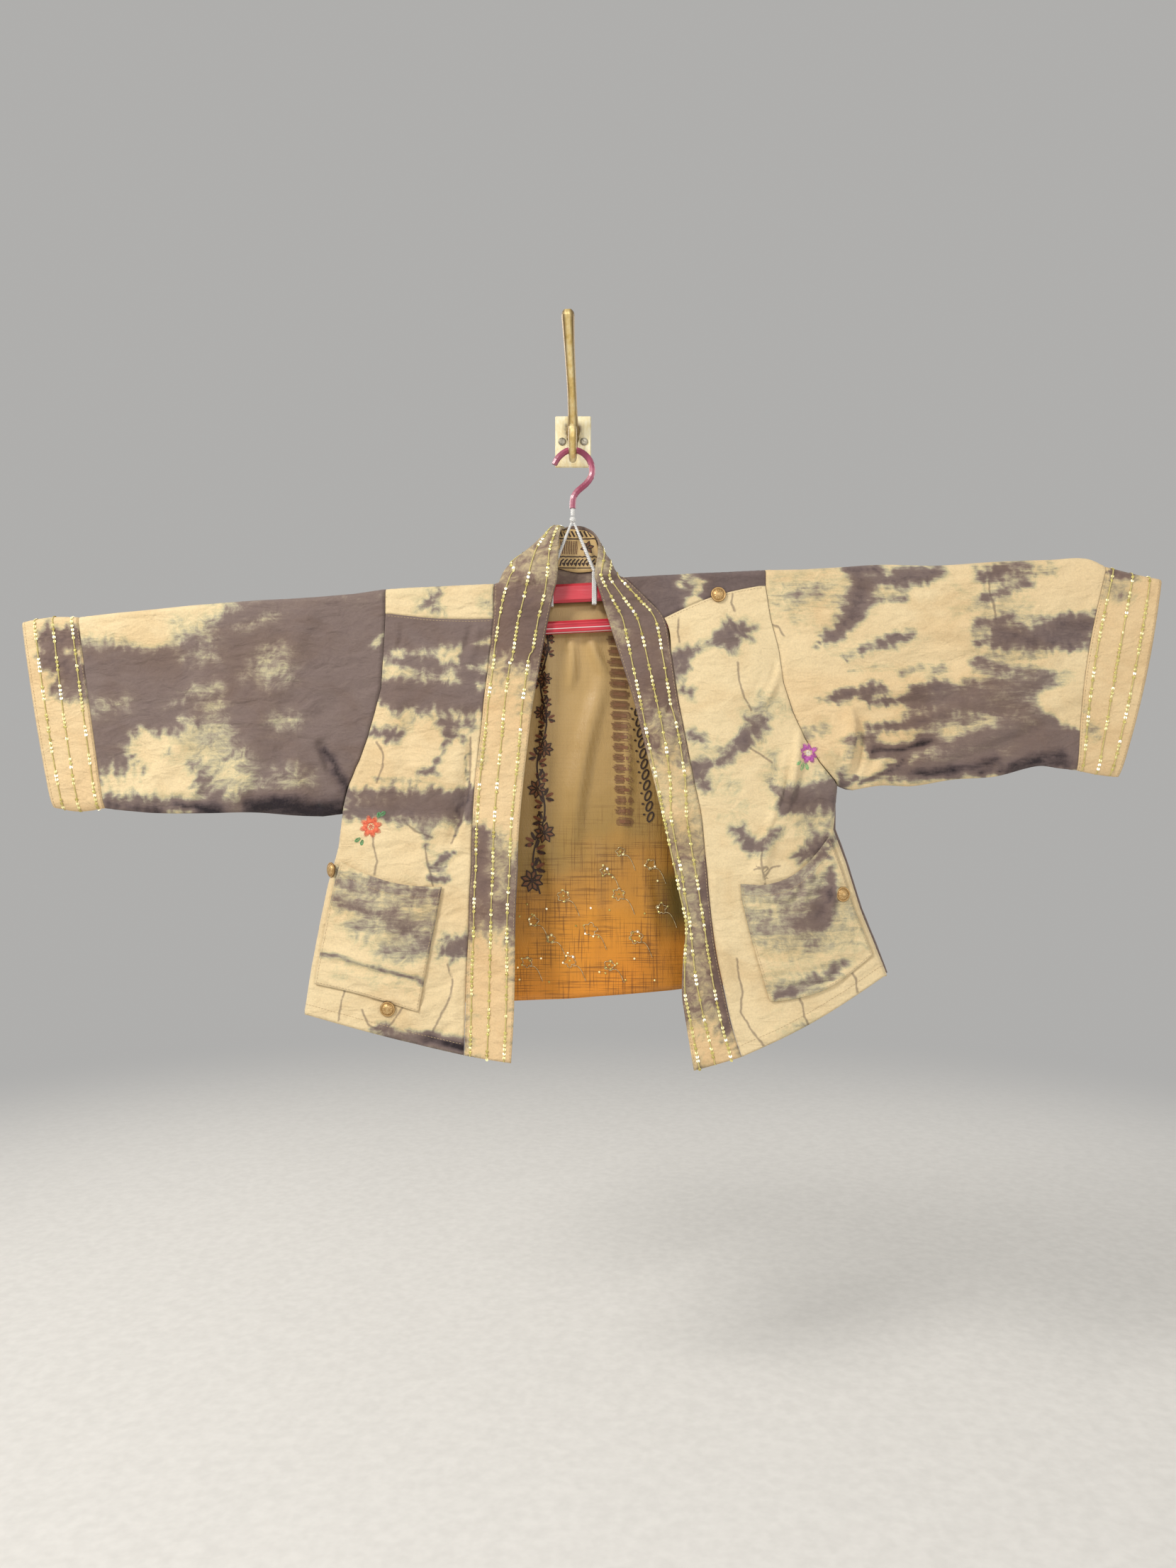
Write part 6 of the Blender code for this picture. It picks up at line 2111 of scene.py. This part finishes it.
def brass_finish(name, stops, low, side_shade, metallic, roughness):
    """Cast or sheet brass, rubbed bright and tarnished in patches, with painted shade along the
    sides of a round arm and a painted shadow round the hook's root.
    """
    made = Finish(name, Metallic=metallic)
    tarnish = made.noise((55, 55, 40), 5, 0.65, 0.4)
    rub = made.noise((400, 400, 90))
    share = tarnish * 0.75 + rub * 0.25
    over, _, up = made.parts()
    # Painted shadow round the hook's root on the plate, broken up by the tarnish noise; low sets
    # how much.
    shadow = 1 - abs(over - PAINTED_SHADE_MIDDLE.x).between(0.007, 0.016)
    shadow = shadow * (1 - abs(up - PAINTED_SHADE_MIDDLE.z).between(0.005, 0.016))
    shadow = shadow * tarnish.between(0.3, 0.55)
    color = made.ramp(share, stops)
    # Painted shade: both sides of the round arm are darker, as light falls off round it.
    middle = (up - ARM_BEND_Z).larger(0.0) * ARM_LEAN
    side = abs(over - PAINTED_SHADE_MIDDLE.x - middle).between(0.0016, 0.0054)
    color = made.blend(side * side_shade, color, tint(88, 60, 26))
    made.link("Base Color", made.blend(shadow * low, color, tint(86, 58, 22)))
    made.link("Roughness", roughness + tarnish * 0.25)
    made.bump(rub * 0.3 + tarnish * 0.5, 0.0003)
    return made


brass = brass_finish("cast_brass", (
    (0.25, 176, 142, 78), (0.46, 226, 196, 126), (0.66, 250, 232, 180),
), 0.0, 0.8, 0.6, 0.26)
sheet_brass = brass_finish("sheet_brass", (
    (0.30, 214, 190, 132), (0.48, 238, 226, 184), (0.62, 250, 244, 218),
), 1.0, 0.0, 0.25, 0.3)
screw_metal = brass_finish("screw_metal", (
    (0.30, 112, 106, 92), (0.48, 160, 154, 138), (0.62, 204, 198, 182),
), 0.0, 0.0, 0.8, 0.28)

for node, slot_turn in (("wall_screw_left", -8), ("wall_screw_right", 48)):
    form = bmesh.new()
    spin_profile(form, SCREW_PROFILE, 32)
    for x in (-SLOT_HALF, SLOT_HALF):
        bmesh.ops.bisect_plane(
            form, geom=list(form.verts) + list(form.edges) + list(form.faces),
            plane_co=(x, 0, 0), plane_no=(1, 0, 0),
        )
    centers = {face: face.calc_center_median() for face in form.faces}
    slot_faces = [face for face, center in centers.items()
                  if abs(center.x) < SLOT_HALF and center.z > SLOT_FROM]
    pushed = bmesh.ops.extrude_face_region(form, geom=slot_faces)
    bmesh.ops.delete(form, geom=slot_faces, context="FACES_ONLY")
    sunk = [item for item in pushed["geom"] if isinstance(item, bmesh.types.BMVert)]
    for vert in sunk:
        vert.co.z = max(vert.co.z - SLOT_DEPTH, SLOT_FLOOR)
    bmesh.ops.recalc_face_normals(form, faces=form.faces)
    turn = Matrix.Rotation(pi / 2, 4, "X") @ Matrix.Rotation(radians(slot_turn), 4, "Z")
    middle = middle_of(node)
    middle.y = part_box(node)[1][1]
    bmesh.ops.transform(form, matrix=Matrix.Translation(middle) @ Matrix.Scale(MM, 4) @ turn,
                        verts=form.verts)
    mesh = mesh_of(form, f"slotted_{node}", smooth=False)
    put(f"slotted_{node}", mesh, screw_metal, "brass", node)

# %% [markdown]
# ## Hanger and hook finishes
#
# The hanger's and the hook's solids have the right shapes, so they keep
# their meshes and only get better materials.

# %% Plastic, tube, cord and brass
def dress(node, finish):
    """Give a carried-over solid its finish."""
    for slot in bpy.data.objects[node].material_slots:
        slot.material = finish.material


BAR_SLOPE = (RIDGE_RIGHT_Z - RIDGE_LEFT_Z) / (RIDGE_RIGHT_X - RIDGE_LEFT_X)
LINE_Z = -0.2437
LINE_HALF = 0.0006
SECOND_LINE_DROP = 0.0052
RIB_PITCH = 0.0052

red = Finish("red_plastic", Roughness=0.3, Coat_Weight=0.25)
over, _, up = red.parts()
level = up - over * BAR_SLOPE
scuffs = red.noise((30, 200, 600))
cloud = red.noise(25, 2)
color = red.ramp(cloud, ((0.3, 180, 38, 54), (0.7, 208, 56, 70)))
color = red.blend(scuffs.between(0.62, 0.75) * 0.25, color, tint(226, 120, 130))
stripe = 1 - abs(level - LINE_Z).between(LINE_HALF * 0.6, LINE_HALF)
second = 1 - abs(level - LINE_Z + SECOND_LINE_DROP).between(LINE_HALF * 0.4, LINE_HALF * 0.8)
stripe = stripe.larger(second)
color = red.blend(stripe, color, tint(235, 222, 220))
red.link("Base Color", color)
ribs = (level * (2 * pi / RIB_PITCH)).sine()
on_rail = 1 - level.between(-0.236, -0.233)
red.bump(ribs * on_rail * 0.5 + scuffs * 0.15 + cloud * 0.3, 0.0009)
for node in ("hanger_bar", "hanger_rail", "hanger_link_left", "hanger_link_right",
             "hanger_arm_left", "hanger_arm_right"):
    dress(node, red)

tube = Finish("burgundy_tube", Roughness=0.38, Coat_Weight=0.2)
soft = tube.noise(60)
tube.link("Base Color", tube.ramp(soft, ((0.3, 140, 52, 80), (0.7, 176, 88, 114))))
tube.bump(tube.noise((300, 300, 90), 2) * 0.5 + soft, 0.0006)
dress("hanger_hook", tube)

cord = Finish("white_cord", Roughness=0.5, Sheen_Weight=0.1)
over, _, up = cord.parts()
strands = (up * 2600.0 + over * 1500.0).sine()
wear = cord.noise(120)
color = cord.ramp(wear, ((0.3, 222, 222, 220), (0.7, 246, 246, 244)))
# The grooves between the strands are painted darker, as shade.
cord.link("Base Color", cord.blend((0.5 - strands * 0.5) * 0.18, color, tint(150, 150, 152)))
cord.bump(strands * 0.5 + wear * 0.3, 0.0006)
for node in ("hanger_stem", "hanger_knot", "hanger_leg_left", "hanger_leg_right",
             "hanger_clip_left", "hanger_clip_right"):
    dress(node, cord)

dress("wall_plate", sheet_brass)
dress("wall_hook", brass)

# %% [markdown]
# ## Seam stitches
#
# Short raised stitches in tan thread run beside the seams and hems, each a
# small piece of one curve.


# %% Stitches beside the seams
def inset_row(laid, side, distance):
    """Grid places at a distance inside one side of a sheet."""
    flat = laid.points if side in ("top", "base") else laid.points.swapaxes(0, 1)
    last = flat.shape[0] - 1
    backward = side in ("base", "last")
    way = steps_along(flat[::-1] if backward else flat, 0)
    places = []
    for k in range(flat.shape[1]):
        at = float(np.interp(distance, way[:, k], np.arange(last + 1)))
        at = last - at if backward else at
        places.append((at, float(k)) if side in ("top", "base") else (float(k), at))
    return places


STITCH = 2.6
STITCH_GAP = 1.5


def stitch_rows(laid, places):
    """Pairs of spots, one for each stitch along a row."""
    steps = even_spots(laid, places, 0.5)
    every = round((STITCH + STITCH_GAP) / 0.5)
    long = round(STITCH / 0.5)
    return [[steps[k], steps[k + long]] for k in range(every, len(steps) - every, every)]


tan_thread = fibre_finish("tan_thread", 900, 0.0003, (0.3, 166, 142, 108),
                          (0.7, 206, 182, 142), Roughness=0.6, Sheen_Weight=0.2)
POCKET_SEAMS = {"base": 2.4, "first": 2.4, "last": 2.4, "top": 14}
CUFF_SEAMS = {"top": 2.2, "base": 3.0}
SEAMS = {
    "front_left": {"base": 13, "top": 2.5}, "front_right": {"base": 13, "top": 2.5},
    "back_panel": {"base": 13}, "pocket_left": POCKET_SEAMS, "pocket_right": POCKET_SEAMS,
    "neckband": {"first": 2.2, "last": 2.2}, "cuff_left": CUFF_SEAMS, "cuff_right": CUFF_SEAMS,
}
for name, insets in SEAMS.items():
    rows = []
    for side, inset in insets.items():
        rows += stitch_rows(panels[name], inset_row(panels[name], side, inset))
    thread_piece(f"stitches_{name}", rows, 0.28, tan_thread, lift=0.12)
    print(name, len(rows), "stitches")

# %% [markdown]
# ## The cuts
#
# The size each sheet was cut to, in metres, before it was sewn. The
# sizes are those that the tables give, rounded, along the cloth. The pieces a
# maker would sew on each are listed with it, and each cut's area is printed
# beside the laid one.

# %% Cut sizes
Cut = namedtuple("Cut", "width length area held rests_on")
CUTS = {
    "front_left": Cut(0.226, 0.54, 0.090, "hung", ["yoke_left"]),
    "front_right": Cut(0.230, 0.55, 0.092, "hung", ["yoke_right"]),
    "yoke_left": Cut(0.140, 0.062, 0.0075, "draped", ["hanger_bar"]),
    "yoke_right": Cut(0.186, 0.092, 0.0082, "draped", ["hanger_bar"]),
    "back_panel": Cut(0.760, 0.54, 0.315, "hung", ["yoke_left", "yoke_right"]),
    "sleeve_left": Cut(0.590, 0.39, 0.193, "draped", ["hanger_arm_left"]),
    "sleeve_right": Cut(0.592, 0.43, 0.211, "draped", ["hanger_arm_right"]),
    "cuff_left": Cut(0.505, 0.070, 0.034, "folded", ["sleeve_left"]),
    "cuff_right": Cut(0.528, 0.076, 0.037, "folded", ["sleeve_right"]),
    "neckband": Cut(0.104, 1.43, 0.082, "folded", ["front_left", "front_right"]),
    "pocket_left": Cut(0.135, 0.155, 0.020, "laid", ["front_left"]),
    "pocket_right": Cut(0.144, 0.155, 0.0202, "laid", ["front_right"]),
    "back_lining": Cut(0.594, 0.51, 0.242, "hung", ["back_panel"]),
    "neck_lining": Cut(0.055, 0.069, 0.0029, "laid", ["neckband"]),
}
SEWN_ON = {
    "neckband": ("sequins_neckband", "thread_neckband"),
    "cuff_left": ("sequins_cuff_left", "thread_cuff_left"),
    "cuff_right": ("sequins_cuff_right", "thread_cuff_right"),
    "front_left": ("flower_coral_petals", "flower_coral_heart", "flower_coral_leaves"),
    "front_right": ("flower_plum_petals", "flower_plum_heart", "flower_plum_leaves"),
    "back_lining": ("lining_vine_and_blocks", "lining_gilt_lines", "lining_sequins"),
    "neck_lining": ("neck_lining_print",),
}
for name, cloth_cut in CUTS.items():
    sewn = list(SEWN_ON.get(name, ()))
    if name in SEAMS:
        sewn.append(f"stitches_{name}")
    print(name, "cut", cloth_cut.area, "m2, laid", round(panels[name].area, 4), "m2")
